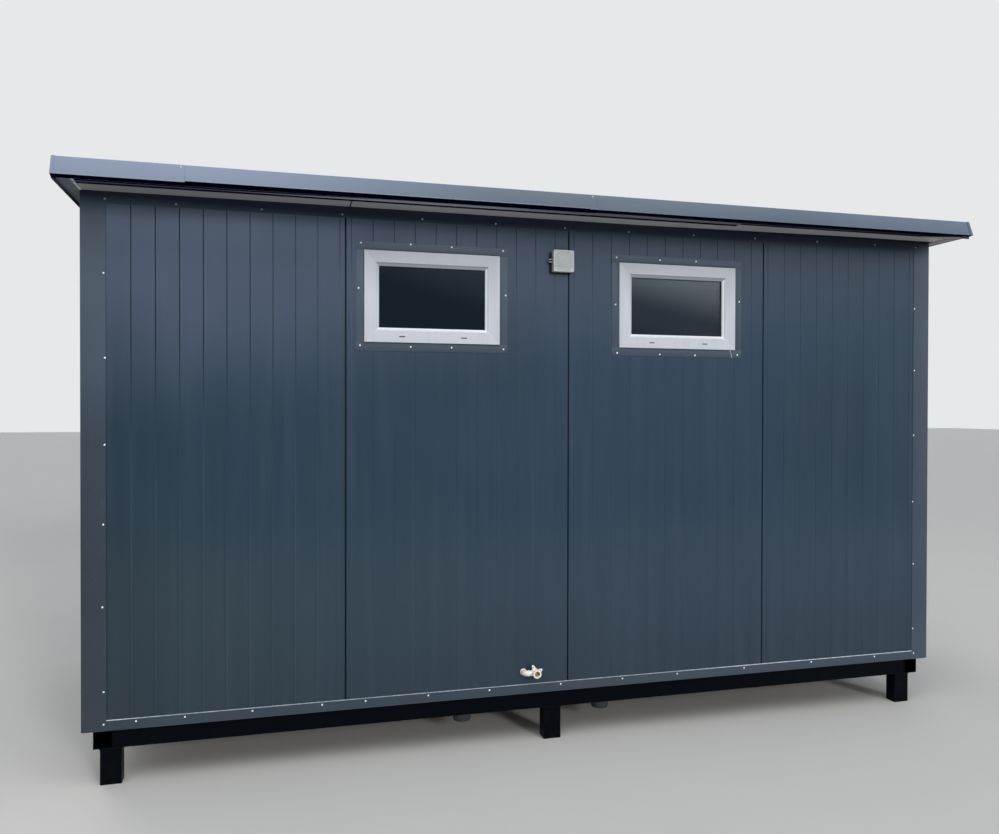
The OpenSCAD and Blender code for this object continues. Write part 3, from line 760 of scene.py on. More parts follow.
def eavesFascia(name, turn, replaced):
    bm = bmesh.new()
    seams = [-vergeInside, *fascia["seams"], vergeInside]
    for i in range(3):
        begin = seams[i] - (fascia["lap"] if i else 0)
        sunk = (i + 1) * fascia["step"]
        section = fasciaSection(sunk, fascia["lips"][i], fascia["rises"][i], fascia["soffits"][i])
        foldedSheet(bm, section, alongWall, begin, seams[i + 1], fascia, (0, 0, 1), turned(turn))
    # the last flange is narrow, and packers widen it at both of its ends
    wide, narrow = fascia["soffits"][0], fascia["soffits"][2]
    back = eavesEdge - fascia["return"]
    firstPacker, lastPacker = fascia["packed"]
    for begin, end, reach in ((seams[2], firstPacker, wide), (lastPacker, vergeInside, fascia["endPacker"])):
        low = (begin, narrow - back - fascia["tuck"], wallTop - fascia["packer"])
        softBlock(bm, low, (end, reach - back, wallTop), 0.4 * mm, place=turned(turn))
    for side in (-1, 1):
        start, end = sorted((side * (vergeInside - fascia["cornerWrap"]), side * vergeInside))
        section = fasciaSection(0, fascia["lips"][1 + side])[1:4]
        foldedSheet(bm, section, alongWall, start, end, fascia, (0, -1, 0.3), turned(turn))
    finishPiece(name, bm, [fasciaCoat, fasciaFold], [replaced])


tab = {"fromEnd": 9 * mm, "long": 45 * mm, "fromEdge": 17 * mm, "thick": 2 * mm, "down": (1 * mm, 17 * mm)}


def endTab():  # the end fascia's lip shows as a tab below the right end of the eaves, dark with the trim coat's painted shade below the roof
    bm = bmesh.new()
    right, front = vergeInside - tab["fromEnd"], tab["fromEdge"] - eavesEdge
    top, bottom = (wallTop - down for down in tab["down"])
    softBlock(bm, (right - tab["long"], front, bottom), (right, front + tab["thick"], top), 0.6 * mm)
    finishPiece("endFasciaTab", bm, [trimCoat])


eavesFascia("frontEavesFascia", 0, "front_fascia")
endTab()
eavesFascia("backEavesFascia", 180, "back_fascia")
print("fascias folded")


# Windows

window = {
    "halfWide": 328 * mm, "halfHigh": 215.5 * mm, "depth": 60 * mm, "band": 58 * mm, "ease": 2.6 * mm,
    "weldLine": 0.5 * mm, "bead": 12 * mm, "beadBack": 10 * mm,
    "glassBack": 27 * mm, "glassDepth": 24 * mm, "pane": 4 * mm, "paneFit": 0.5 * mm,
    "slotSpread": 150 * mm, "slotSize": (30 * mm, 5 * mm), "slotDown": 28 * mm,
    "headShadeStrip": 3.5 * mm, "plateBorder": 41 * mm, "plateTuck": 2 * mm, "plateShort": 3 * mm,
}
windows = []
for i in (1, 2):
    low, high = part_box(f"window_frame_{i}")
    windows.append(((low.x + high.x) / 2, (low.z + high.z) / 2))
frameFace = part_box("window_frame_1")[0].y


def slotCorners(centre, front, back, grow=0):  # the two drain slots low in a frame
    wide, high = (size / 2 + grow for size in window["slotSize"])
    z = centre[1] - window["halfHigh"] + window["slotDown"]
    for x in (centre[0] - window["slotSpread"], centre[0] + window["slotSpread"]):
        yield (x - wide, frameFace + front, z - high), (x + wide, frameFace + back, z + high)


def windowFrame(number, centre):
    ease, beadBack, glassBack = window["ease"], window["beadBack"], window["glassBack"]
    steps = [
        (0, window["depth"] - ease), (ease * 0.3, ease * 0.7), (ease * 0.7, ease * 0.3),  # side, round rim
        (window["band"] - 2 * ease, 0), (ease, -ease),  # the flat band
        (0, ease + 1 * mm - beadBack), (1.5 * mm, 1 * mm), (2.5 * mm, -1 * mm),  # back to the glazing bead
        (window["bead"] - 4 * mm, -6 * mm),  # its slope
        (0, beadBack + 5 * mm - glassBack), (0, glassBack - window["depth"]),
    ]
    backY = frameFace + window["depth"]
    bm = frameRing(centre, window["halfWide"], window["halfHigh"], backY, steps)
    mitres = [e for e in bm.edges if abs(span(e).x) > 1 * mm and abs(span(e).z) > 1 * mm]
    bevelEdges(bm, mitres, 0.7 * mm, 2)
    for vert in bm.verts:  # the middle of each mitre bevel sinks to a weld line
        offX = window["halfWide"] - abs(vert.co.x - centre[0])
        offZ = window["halfHigh"] - abs(vert.co.z - centre[1])
        if abs(offX - offZ) < 0.05 * mm and offX > ease and vert.co.y < backY - 1 * mm:
            vert.co.y += window["weldLine"]
    piece = finishPiece(f"windowFrame{number}", bm, [whitePvc], [f"window_frame_{number}"])
    slots = bmesh.new()
    for low, high in slotCorners(centre, -1 * mm, 8 * mm):
        slot = rawBlock(low, high)
        ends = [e for e in slot.edges if abs(span(e).y) > 1e-6]
        bevelEdges(slot, ends, window["slotSize"][1] * 0.45, 4)
        addPart(slots, slot)
    cutOut(piece, slots)


def windowGlazing():
    panes, spacers, gaskets = bmesh.new(), bmesh.new(), bmesh.new()
    frontY = frameFace + window["glassBack"]
    backY = frontY + window["glassDepth"]
    pane = window["pane"]
    gap = window["glassDepth"] - 2 * pane
    wide, high = (window[half] - window["band"] - window["paneFit"] for half in ("halfWide", "halfHigh"))
    bar = window["bead"] + 1.5 * mm
    bead = window["bead"] - 1.2 * mm
    spacer = [(0, gap - 0.3 * mm), (0.3 * mm, 0.3 * mm), (bar, 0), (0.3 * mm, -0.3 * mm), (0, 0.3 * mm - gap)]
    lip = inMillimetres([(0, 1.2), (0.6, 0.8), (1.4, -0.2), (0.6, -1.8)])
    for x, z in windows:
        for y in (frontY, backY - pane):
            softBlock(panes, (x - wide, y, z - high), (x + wide, y + pane, z + high), 0.4 * mm, 1)
        addPart(spacers, frameRing((x, z), wide - 1 * mm, high - 1 * mm, frontY + pane + gap, spacer))
        addPart(gaskets, frameRing((x, z), wide - bead, high - bead, frontY - 0.1 * mm, lip))
        for low, up in slotCorners((x, z), 1.2 * mm, 4 * mm, 1 * mm):  # black bottoms in the drain slots, painted shade that darkens them
            softBlock(gaskets, low, up, 0.3 * mm, 1)
        top = z + window["halfHigh"]
        # painted shade: a black strip along the top of each frame stands in for the shade below the flashing
        softBlock(
            gaskets, (x - window["halfWide"], frameFace + 8 * mm, top),
            (x + window["halfWide"], -panelFace, top + window["headShadeStrip"]), 0.4 * mm,
        )
    finishPiece("windowPanes", panes, [glass], ["window_glass"])
    finishPiece("windowSpacers", spacers, [spacerAlloy])
    finishPiece("windowGaskets", gaskets, [blackRubber])


def windowFlashing(number, centre):  # four strips, the top and bottom ones over the side ones
    bm = bmesh.new()
    x, z = centre
    border, wide, high = window["plateBorder"], window["halfWide"], window["halfHigh"]
    step = (trimFace - panelFace) / 2
    tall = high + border - window["plateTuck"]
    for side, short in ((-1, window["plateShort"]), (1, 0)):
        left, right = sorted((x + side * wide, x + side * (wide + border - short)))
        softBlock(bm, (left, -panelFace - step, z - tall), (right, -panelFace, z + tall), 0.4 * mm)
        bottom, top = sorted((z + side * high, z + side * (high + border)))
        low = (x - wide - border, -trimFace, bottom)
        softBlock(bm, low, (x + wide + border, -panelFace - step, top), 0.4 * mm)
    finishPiece(f"windowFlashing{number}", bm, [trimCoat], [f"window_plate_{number}"])


for index, middle in enumerate(windows):
    windowFrame(index + 1, middle)
    windowFlashing(index + 1, middle)
windowGlazing()
print("windows made")


# Blind rivets along the trims

rivet = {
    "head": 4.3 * mm, "height": 1.6 * mm, "steps": 12,
    "topZ": topTrimBottom + 15 * mm, "baseZ": baseTrimTop - 12 * mm, "cornerIn": 91 * mm,
    "topRise": 0.009, "riseFrom": 400 * mm,  # the front row follows the roof, which rises to the right
    "backPitch": 330 * mm, "endPitch": 370 * mm, "endDown": 2 * mm, "seamIn": 18 * mm, "seamDown": 12 * mm,
    # in mm, given along the front trims, from the middle of the cabin
    "frontTop": (-1805, -1440, -1080, -704, -342, 15, 359, 724, 1084, 1465, 1833),
    "frontBase": (-1973, -1771, -1482, -1171, -971, -672, -369, -1, 332, 639, 1030, 1441, 1847),
    "cornerUp": (281, 420, 789, 1158, 1527, 1896, 2240, 2560),
    "frontLeft": ((0, 278), (0, 420), (-4, 790), (0, 1150), (6, 1497), (8, 1875), (3, 2243), (9, 2565)),
    "frontRight": ((3, 281), (-4, 421), (-2, 787), (-9, 1139), (-6, 1513), (-3, 1878), (-5, 2226), (0, 2571)),
    # in mm, along and up from the middle of each window
    "windows": (
        ((-343, 248), (-108, 252), (90, 249), (346, 244), (-347, -232), (-108, -235), (90, -234), (349, -237),
         (-354, 36), (360, 27)),
        ((-343, 242), (-102, 239), (103, 242), (-338, -243), (-102, -246), (99, -247), (346, -241),
         (-347, 3), (357, 41)),  # one is missing at the top right
    ),
}


def rivetShape(bm):
    head, height = rivet["head"], rivet["height"]
    profile = [
        (0, height * 0.55), (head * 0.22, height * 0.55), (head * 0.3, height), (head * 0.62, height * 0.86),
        (head * 0.9, height * 0.5), (head, height * 0.15), (head, 0), (0, 0),
    ]
    lathe(bm, profile, Matrix(), rivet["steps"])


def rivetPlaces():
    places = []
    for along in rivet["frontTop"]:
        rise = rivet["topRise"] * max(0, along * mm - rivet["riseFrom"])
        places.append(onWall(0, along * mm, trimFace, rivet["topZ"] + rise))
    for along in rivet["frontBase"]:
        places.append(onWall(0, along * mm, trimFace, rivet["baseZ"]))
    corner, endCorner = endTrimFace - rivet["cornerIn"], trimFace - rivet["cornerIn"]
    for side, spots in ((-1, rivet["frontLeft"]), (1, rivet["frontRight"])):
        for along, up in spots:
            places.append(onWall(0, side * corner + along * mm, trimFace, up * mm))
        for up in rivet["cornerUp"]:
            places.append(onWall(180, side * corner, trimFace, up * mm))
            for turn in (90, -90):
                places.append(onWall(turn, side * endCorner, endTrimFace, up * mm))
    for i in range(-6, 7):
        for up in (rivet["topZ"], rivet["baseZ"]):
            places.append(onWall(180, i * rivet["backPitch"], trimFace, up))
    for turn in (90, -90):
        for i in range(-2, 3):
            for up in (rivet["topZ"] - rivet["endDown"], rivet["baseZ"]):
                places.append(onWall(turn, i * rivet["endPitch"], endTrimFace, up))
    for (x, z), spots in zip(windows, rivet["windows"]):
        for along, up in spots:
            face = trimFace if abs(up) > 200 else panelFace + 1 * mm
            places.append(onWall(0, x + along * mm, face, z + up * mm))
    run = fascia["lean"] / (roofTop - wallTop)
    up = roofTop - rivet["seamDown"]
    out = eavesEdge - run * (up - wallTop) - fascia["step"]
    for turn in (0, 180):
        for seam in fascia["seams"]:
            places.append(onWall(turn, seam - rivet["seamIn"], out, up, math.degrees(math.atan(run))))
    return places


def addRivets():
    bm = bmesh.new()
    stamp(bm, templateMesh(rivetShape), rivetPlaces())
    finishPiece("blindRivets", bm, [rivetAlloy], sharp=50)


addRivets()
print("rivets set")


# Sealant along the base trims, and the dribble left under the right window

sealant = {
    "radius": 2.0 * mm, "lump": 0.4, "off": 1.2 * mm, "tailRadius": 1.3 * mm, "tailLump": 0.3,
    # in mm from the middle of the window's lower edge
    "tail": ((300, -1, 2), (304, -2, -10), (309, -1, -24), (313, -1, -40)),
}


def baseSealant():
    bm = bmesh.new()
    endHalf = trimFace - sheet["cornerLeg"]
    for turn, face, half in ((0, panelFace, trimEnd), (180, panelFace, trimEnd),
                             (90, endPanelFace, endHalf), (-90, endPanelFace, endHalf)):
        y, z = -face - sealant["off"], baseTrimTop + sealant["off"]
        beadLine(bm, (-half, y, z), (half, y, z), sealant["radius"], sealant["lump"], place=turned(turn))
    finishPiece("baseSealant", bm, [sealantWhite], sharp=60)


def sealantTail():
    bm = bmesh.new()
    x, z = windows[1]
    edge = Vector((x, -trimFace, z - window["halfHigh"]))
    points = [edge + Vector(point) * mm for point in sealant["tail"]]
    for start, end in zip(points, points[1:]):
        beadLine(bm, start, end, sealant["tailRadius"], sealant["tailLump"], 3 * mm)
    finishPiece("sealantTail", bm, [sealantWhite], sharp=60)


baseSealant()
sealantTail()


# The open hole that a lost rivet left at the right window, black as painted shade inside it

lostRivet = {
    "along": 346 * mm, "up": 250 * mm,
    "profile": ((0, -1.6), (3.4, -1.6), (3.6, 0.1), (4.2, 0.15), (4.6, -0.3), (4.6, -1.9), (0, -1.9)),
}


def missingRivet():
    bm = bmesh.new()
    x, z = windows[1]
    place = onWall(0, x + lostRivet["along"], trimFace, z + lostRivet["up"])
    lathe(bm, inMillimetres(lostRivet["profile"]), place, 20)
    finishPiece("lostRivetHole", bm, [blackRubber])


missingRivet()
print("sealant laid")


# Foam strips deep in the panel joints, seams of the roof panels, and black strips of painted shade beside the
# fascia flanges

seal = {
    "width": 7.6 * mm, "recess": 6 * mm, "thickness": 3 * mm, "below": 20 * mm, "topGap": 4 * mm,
    "shadeWidths": (33 * mm, 25 * mm), "shadeThick": 1.4 * mm, "shadeStripEnd": 70 * mm,
    "joint": 2.5 * mm, "jointThick": 1.6 * mm, "seam": 4 * mm, "seamThick": 2 * mm,
}


def wallSeals(bm):
    joints = [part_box(f"front_wall_panel_{i}")[1].x for i in (1, 2, 3)]
    rows = [(0, x, panelFace) for x in joints] + [(180, -x, panelFace) for x in joints]
    rows += [(90, 0, endPanelFace), (-90, 0, endPanelFace)]
    doorLow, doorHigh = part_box("door_frame")
    half = seal["width"] / 2
    for turn, x, face in rows:
        if turn == 180 and doorLow.x < -x < doorHigh.x:
            continue
        out = seal["recess"] - face
        low = (x - half, out, baseTrimTop - seal["below"])
        high = (x + half, out + seal["thickness"], wallTop - seal["topGap"])
        softBlock(bm, low, high, 0.8 * mm, place=turned(turn))


def fasciaShadeStrips(bm):  # a black strip beside the flange of each fascia, painted shade of the flange's inner edge
    firstPacker, lastPacker = fascia["packed"]
    rows = (
        (seal["shadeStripEnd"] - vergeInside, firstPacker, fascia["soffits"][0], seal["shadeWidths"][0]),
        (firstPacker, lastPacker, fascia["soffits"][2], seal["shadeWidths"][1]),
    )
    for turn in (0, 180):
        for begin, end, flange, stripWidth in rows:
            outer = fascia["return"] + flange - eavesEdge
            low = (begin, outer, wallTop - seal["shadeThick"])
            softBlock(bm, low, (end, outer + stripWidth, wallTop), 0.5 * mm, place=turned(turn))


def roofSeals(bm):
    seams = [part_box(f"roof_panel_{i}")[1].x for i in (1, 2, 3)]
    shadeStripEnd = eavesEdge - fascia["return"] - fascia["soffits"][0] - seal["shadeWidths"][0]
    x = seams[0]  # the other two joints are pulled tight below
    for ySign in (-1, 1):
        near, far = sorted((ySign * trimFace, ySign * shadeStripEnd))
        low = (x - seal["joint"], near, wallTop - seal["jointThick"])
        softBlock(bm, low, (x + seal["joint"], far, wallTop), 0.5 * mm)
    edge = eavesEdge - fascia["lean"] - fascia["topFlange"]
    for x in seams:
        low = (x - seal["seam"], -edge, panTop)
        softBlock(bm, low, (x + seal["seam"], edge, panTop + seal["seamThick"]), 0.8 * mm)


def addJointSeals():
    seals, shadeWidths = bmesh.new(), bmesh.new()
    wallSeals(seals)
    fasciaShadeStrips(shadeWidths)
    roofSeals(seals)
    finishPiece("jointSeals", seals, [blackRubber])
    finishPiece("fasciaShadeStrips", shadeWidths, [flangeShadeStrip])


addJointSeals()
print("joints sealed")


# Junction box

box = {
    "base": 22 * mm, "seam": 1.4 * mm, "panel": 21 * mm, "well": 41 * mm, "corner": 5 * mm, "sunk": 1.6 * mm,
    "slot": (2.8 * mm, 0.5 * mm), "jawSpread": 6 * mm, "jaw": (5 * mm, 2 * mm),
    # turned profiles in mm: lid screw in its well, knock-out in the base, clamp collar
    "screw": ((0, -0.4), (3.2, -0.4), (3.6, -0.1), (4.0, 0.9), (5.0, 1.4), (6.0, 0.9), (6.4, -1), (0, -1)),
    "knockOut": ((0, 0), (7, 0), (7.4, 0.7), (8.6, 0.7), (9, 0), (11, 0), (11.4, 0.8), (12.4, 0.8), (12.8, 0),
                 (12.8, -1), (0, -1)),
    "clamp": ((0, 0), (8, 0), (8, 2.5), (7.4, 3.2), (0, 3.2)),
}


def lidScrews(centre, frontY):  # slotted screws in wells near the corners of the lid
    bm = bmesh.new()
    long, wide = box["slot"]
    for sx in (-1, 1):
        for sz in (-1, 1):
            spot = (centre.x + sx * box["well"], frontY + box["sunk"], centre.z + sz * box["well"])
            place = placed(spot, 90, "X")
            lathe(bm, inMillimetres(box["screw"]), place, 24)
            slot = place @ turned(30 * sx + 10 * sz)
            softBlock(bm, (-long, -wide, -wide), (long, wide, 0.1 * mm), 0.1 * mm, 1, slot)
    finishPiece("junctionBoxScrews", bm, [boxRim])


def knockOuts(bm, middle, reach):  # oval blanks in the three free sides of the base
    squeeze = Matrix.Diagonal((0.78, 0.78, 1, 1))
    for direction in (Vector((1, 0, 0)), Vector((0, 0, 1)), Vector((0, 0, -1))):
        turn = direction.to_track_quat("Z", "Y").to_matrix().to_4x4()
        lathe(bm, inMillimetres(box["knockOut"]), placed(middle + direction * reach) @ turn @ squeeze, 28)


def cableClamp(bm, tip, root):  # a collar on the box's left side, two jaws and the grommet between them
    place = placed(root, -90, "Y")
    lathe(bm, inMillimetres(box["clamp"]), place, 24)
    deep, thick = box["jaw"]
    for z in (root.z - box["jawSpread"], root.z + box["jawSpread"]):
        softBlock(bm, (tip, root.y - deep, z - thick), (root.x, root.y + deep, z + thick), 0.9 * mm)
    grommet = bmesh.new()
    length = root.x - tip
    wide, narrow, end = 4.2 * mm, 3.4 * mm, length * 0.8
    lathe(grommet, [(0, 2 * mm), (wide, 2 * mm), (wide, length * 0.75), (narrow, end), (0, end)], place, 24)
    finishPiece("junctionBoxGrommet", grommet, [blackRubber])


def junctionBox():
    low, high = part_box("junction_box")
    half = (high.z - low.z) / 2
    centre = Vector((high.x - half, 0, (low.z + high.z) / 2))
    frontY, backY = low.y, high.y
    seamY = backY - box["base"]
    bm = bmesh.new()

    def shell(inset, front, back, rim):
        first = (centre.x - half + inset, front, low.z + inset)
        return roundedCase(first, (high.x - inset, back, high.z - inset), 1, box["corner"], rim)

    addPart(bm, shell(1 * mm, seamY, backY, 0.6 * mm))
    addPart(bm, shell(3 * mm, seamY - box["seam"] - 1 * mm, seamY + 1 * mm, 0.3 * mm))
    lid = shell(0, frontY, seamY - box["seam"], 1.6 * mm)
    lid.normal_update()
    front = max((f for f in lid.faces if f.normal.y < -0.9), key=lambda f: f.calc_area())
    for inset, depth in ((1.4 * mm, 0), (0.6 * mm, -box["sunk"])):
        bmesh.ops.inset_individual(lid, faces=[front], thickness=inset, depth=depth, use_even_offset=True)
    for face in lid.faces:
        face.material_index = 1
    front.material_index = 0
    addPart(bm, lid)
    addPart(bm, shell(box["panel"], frontY + 0.4 * mm, frontY + 4 * mm, 0.8 * mm))
    knockOuts(bm, Vector((centre.x, backY - box["base"] / 2, centre.z)), half - 1 * mm)
    cableClamp(bm, low.x, Vector((centre.x - half + 1 * mm, (backY + frontY) / 2, centre.z)))
    finishPiece("junctionBox", bm, [boxPlastic, boxRim], ["junction_box"])
    lidScrews(centre, frontY)


junctionBox()
print("junction box made")


# Water inlet: a plastic elbow out of the wall, a short pipe and a wall-plate fitting with a brass thread

inlet = {
    "height": 358 * mm, "out": 32 * mm, "run": 55 * mm, "fromLow": 16.5 * mm,
    "elbow": 13.8 * mm, "neck": 12.5 * mm, "bendRadius": 17 * mm, "ease": 1.5 * mm,
    "mouth": 21 * mm, "recess": 13.2 * mm, "recessDeep": 22 * mm, "hole": 9 * mm, "depth": 46 * mm,
    "bore": 10.45 * mm, "thread": 1.8 * mm, "threadDeep": 16 * mm,
    "ears": ((-25, 45 * mm), (60, 36 * mm)), "earThick": 5 * mm, "earHole": 3 * mm, "earBack": 8 * mm,
}


def inletElbow(bm, wallX, axisY, z):  # out of the wall and round to the right
    bend = inlet["bendRadius"]
    tube = bmesh.new()
    start = placed((wallX, -panelFace, z), 90, "X")
    bmesh.ops.create_circle(tube, cap_ends=False, segments=32, radius=inlet["elbow"], matrix=start)

    def grow(edges, step):
        made = bmesh.ops.extrude_edge_only(tube, edges=edges)["geom"]
        verts = [g for g in made if isinstance(g, bmesh.types.BMVert)]
        bmesh.ops.translate(tube, verts=verts, vec=step)
        rim = [g for g in made if isinstance(g, bmesh.types.BMEdge) and all(v in verts for v in g.verts)]
        return verts + rim

    rim = grow(list(tube.edges), (0, axisY + bend + panelFace, 0))
    last = bmesh.ops.spin(
        tube, geom=rim, cent=(wallX + bend, axisY + bend, z), axis=(0, 0, 1),
        angle=math.radians(90), steps=10, use_duplicate=False,
    )["geom_last"]
    grow([g for g in last if isinstance(g, bmesh.types.BMEdge)], (2 * mm, 0, 0))
    bmesh.ops.holes_fill(tube, edges=[e for e in tube.edges if len(e.link_faces) == 1])
    addPart(bm, tube)


def collar(bm, place, first, last, radius, inside):  # a ring with eased edges
    ease = inlet["ease"]
    profile = [
        (inside, first), (radius - ease, first), (radius - 0.3 * ease, first + 0.3 * ease),
        (radius, first + ease), (radius, last - ease), (radius - 0.3 * ease, last - 0.3 * ease),
        (radius - ease, last), (inside, last), (inside, first),
    ]
    lathe(bm, profile, place, 40)


def addDisc(bm, up, radius, thick, segments=24):
    spot = placed((0, 0, up), 90, "X")
    bmesh.ops.create_cone(
        bm, cap_ends=True, segments=segments, radius1=radius, radius2=radius, depth=thick, matrix=spot,
    )


def inletEar(bm, place, reach):  # a tapered lug with a screw hole
    ear = bmesh.new()
    for radius, up in ((12.5 * mm, 10 * mm), (5.5 * mm, reach - 5.5 * mm)):
        addDisc(ear, up, radius, inlet["earThick"])
    bmesh.ops.delete(ear, geom=list(ear.edges), context="EDGES_FACES")
    bmesh.ops.convex_hull(ear, input=ear.verts)
    bmesh.ops.delete(ear, geom=[v for v in ear.verts if not v.link_faces], context="VERTS")
    bmesh.ops.dissolve_limit(ear, angle_limit=0.01, verts=ear.verts, edges=ear.edges)
    earPiece = bpy.data.objects.new("ear", bpy.data.meshes.new("ear"))
    ear.to_mesh(earPiece.data)
    ear.free()
    bpy.context.scene.collection.objects.link(earPiece)
    hole = bmesh.new()
    addDisc(hole, reach - 12 * mm, inlet["earHole"], 20 * mm, 20)
    cutOut(earPiece, hole)
    stamp(bm, earPiece.data, [place])
    bpy.data.objects.remove(earPiece)


def waterInlet():
    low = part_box("water_inlet")[0]
    z, run, bend, depth = inlet["height"], inlet["run"], inlet["bendRadius"], inlet["depth"]
    neck, elbow, mouth = inlet["neck"], inlet["elbow"], inlet["mouth"]
    axisY = -panelFace - inlet["out"]
    wallX = low.x + inlet["fromLow"]
    mouthX = wallX + run
    bm = bmesh.new()
    inletElbow(bm, wallX, axisY, z)
    intoWall = placed((wallX, -panelFace, z), 90, "X")
    alongX = placed((wallX, axisY, z), 90, "Y")
    collar(bm, intoWall, 0, 5 * mm, elbow + 2.5 * mm, elbow * 0.8)
    collar(bm, alongX, bend - 1 * mm, bend + 7 * mm, elbow + 1.2 * mm, neck * 0.8)
    lathe(bm, [(0, bend), (neck, bend), (neck, run), (0, run)], alongX, 32)
    collar(bm, alongX, run - 22 * mm, run - 17 * mm, neck + 2.5 * mm, neck * 0.8)
    toMouth = placed((mouthX, low.y, z), -90, "X")
    recess, recessDeep, hole = inlet["recess"], inlet["recessDeep"], inlet["hole"]
    body = [
        (recess, 0.4 * mm), (14 * mm, 0), (mouth - 1.6 * mm, 0), (mouth - 0.4 * mm, 0.6 * mm),
        (mouth, 1.8 * mm), (mouth, 15 * mm), (mouth - 1.2 * mm, 17 * mm), (mouth - 1.2 * mm, depth - 4 * mm),
        (mouth - 4 * mm, depth), (hole, depth), (hole, recessDeep), (recess, recessDeep), (recess, 0.4 * mm),
    ]
    lathe(bm, body, toMouth, 48)
    for turn, reach in inlet["ears"]:
        inletEar(bm, placed((mouthX, axisY - inlet["earBack"], z), turn, "Y"), reach)
    finishPiece("inletFitting", bm, [inletPlastic], ["water_inlet"], sharp=38)

    insert = bmesh.new()
    bore, pitch = inlet["bore"], inlet["thread"]
    turns = int(inlet["threadDeep"] / pitch)
    start = 1.6 * mm
    profile = [
        (0, 31 * mm), (hole, 31 * mm), (hole, recessDeep), (recess, recessDeep), (recess, 0.6 * mm),
        (11.8 * mm, 0.5 * mm), (bore + 0.9 * mm, 1.0 * mm),
    ]
    for i in range(turns):
        level = start + i * pitch
        profile += [(bore, level), (bore, level + pitch * 0.2), (bore + 0.9 * mm, level + pitch * 0.6)]
    profile += [(bore - 2 * mm, start + turns * pitch), (bore - 2 * mm, 30 * mm), (0, 30 * mm)]
    lathe(insert, profile, toMouth, 40)
    finishPiece("inletThread", insert, [brass], sharp=25)


waterInlet()
print("water inlet made")


# Door furniture on the back wall

door = {
    "gasket": 4 * mm, "plateHalf": 20 * mm, "plateThick": 7 * mm, "plateCorner": 12 * mm,
    "leverRadius": 9 * mm, "leverDown": 220 * mm / 3, "keyDown": 85 * mm,
}


def doorHandle(faceY):  # plate, lever on its neck, and lock cylinder
    low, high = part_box("door_handle")
    half, radius = door["plateHalf"], door["leverRadius"]
    plateX, axisZ = high.x - half, high.z - door["leverDown"]
    out = high.y - radius
    bm = bmesh.new()
    plateHigh = (plateX + half, faceY + door["plateThick"], high.z)
    addPart(bm, roundedCase((plateX - half, faceY, low.z), plateHigh, 1, door["plateCorner"], 1.5 * mm))
    neck = [
        (0, 0), (radius * 1.5, 0), (radius * 1.5, 9 * mm), (radius * 1.3, 10.5 * mm), (radius * 0.8, 12 * mm),
        (radius * 0.8, out - faceY), (0, out - faceY),
    ]
    lathe(bm, neck, placed((plateX, faceY, axisZ), -90, "X"), 32)
    reach = plateX + radius - low.x
    lever = [
        (0, 0), (radius * 0.8, 1 * mm), (radius, 4 * mm),
        (radius, reach - 5 * mm), (radius * 0.8, reach - 1 * mm), (0, reach),
    ]
    lathe(bm, lever, placed((plateX + radius, out, axisZ), -90, "Y"), 32)
    lock = inMillimetres([(0, 0), (9, 0), (9, 9.2), (8.4, 10), (1.2, 10), (1.2, 6), (0, 6)])
    lathe(bm, lock, placed((plateX, faceY, axisZ - door["keyDown"]), -90, "X"), 24)
    finishPiece("doorHandle", bm, [handleAlloy], ["door_handle"])


def doorGasket(faceY):  # all round the leaf
    gap = door["gasket"]
    leafLow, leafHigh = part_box("door_leaf")
    middle, half = (leafLow + leafHigh) / 2, (leafHigh - leafLow) / 2
    steps = [(0, 5 * mm), (1 * mm, 1 * mm), (gap - 2 * mm, 0), (1 * mm, -1 * mm), (0, -5 * mm)]
    rubber = frameRing((middle.x, middle.z), half.x + gap, half.z + gap, faceY - 3 * mm, steps)
    finishPiece("doorGasket", rubber, [blackRubber])


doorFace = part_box("back_wall_panel_3")[1].y
doorHandle(doorFace)
doorGasket(doorFace)
print("door furniture made")


# Drain pipes: a socket with a ring seal under the floor and a plain open spigot

drain = {"radius": 45 * mm, "wall": 3 * mm, "socket": 51 * mm, "shoulder": 90 * mm, "lip": 3 * mm}


def drainPipes():
    low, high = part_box("drain_pipes")
    outer, inner = drain["radius"], drain["radius"] - drain["wall"]
    socket, shoulder, lip = drain["socket"], drain["shoulder"], drain["lip"]
    length = high.z - low.z
    pipe = [
        (inner, 0), (outer - 2.5 * mm, 0), (outer, 6 * mm), (outer, shoulder), (socket, shoulder),
        (socket, shoulder + 8 * mm), (socket + 0.1 * mm, shoulder + 9 * mm), (socket, length - 2 * mm),
        (socket - 2 * mm, length), (inner, length), (inner, 0),
    ]
    ring = [(outer, 0), (outer + lip, 0), (outer + lip, -2 * mm), (outer, -3 * mm), (outer, 0)]
    pipes, rings = bmesh.new(), bmesh.new()
    for x in (low.x + socket, high.x - socket):
        spot = Vector((x, (low.y + high.y) / 2, low.z))
        lathe(pipes, pipe, placed(spot), 48)
        lathe(rings, ring, placed(spot + Vector((0, 0, shoulder))), 48)
    finishPiece("drainSpigots", pipes, [drainPlastic], ["drain_pipes"])
    finishPiece("drainSeals", rings, [blackRubber])


drainPipes()
print("drain pipes made")


# Roof screws with washers, in the pans over the walls and the middle

roofScrew = {"washer": 8 * mm, "head": 4.6 * mm, "rows": (-940 * mm, 0, 940 * mm)}


def roofScrewShape(bm):
    washer, head = roofScrew["washer"], roofScrew["head"]
    profile = [(0, 0), (washer, 0), (washer, 1 * mm), (washer * 0.7, 1.8 * mm), (head, 2 * mm), (0, 2 * mm)]
    lathe(bm, profile, Matrix(), 20)
    profile = [(0, 1.5 * mm), (head, 1.5 * mm), (head, 5.2 * mm), (head * 0.8, 6 * mm), (0, 6 * mm)]
    lathe(bm, profile, Matrix(), 6)


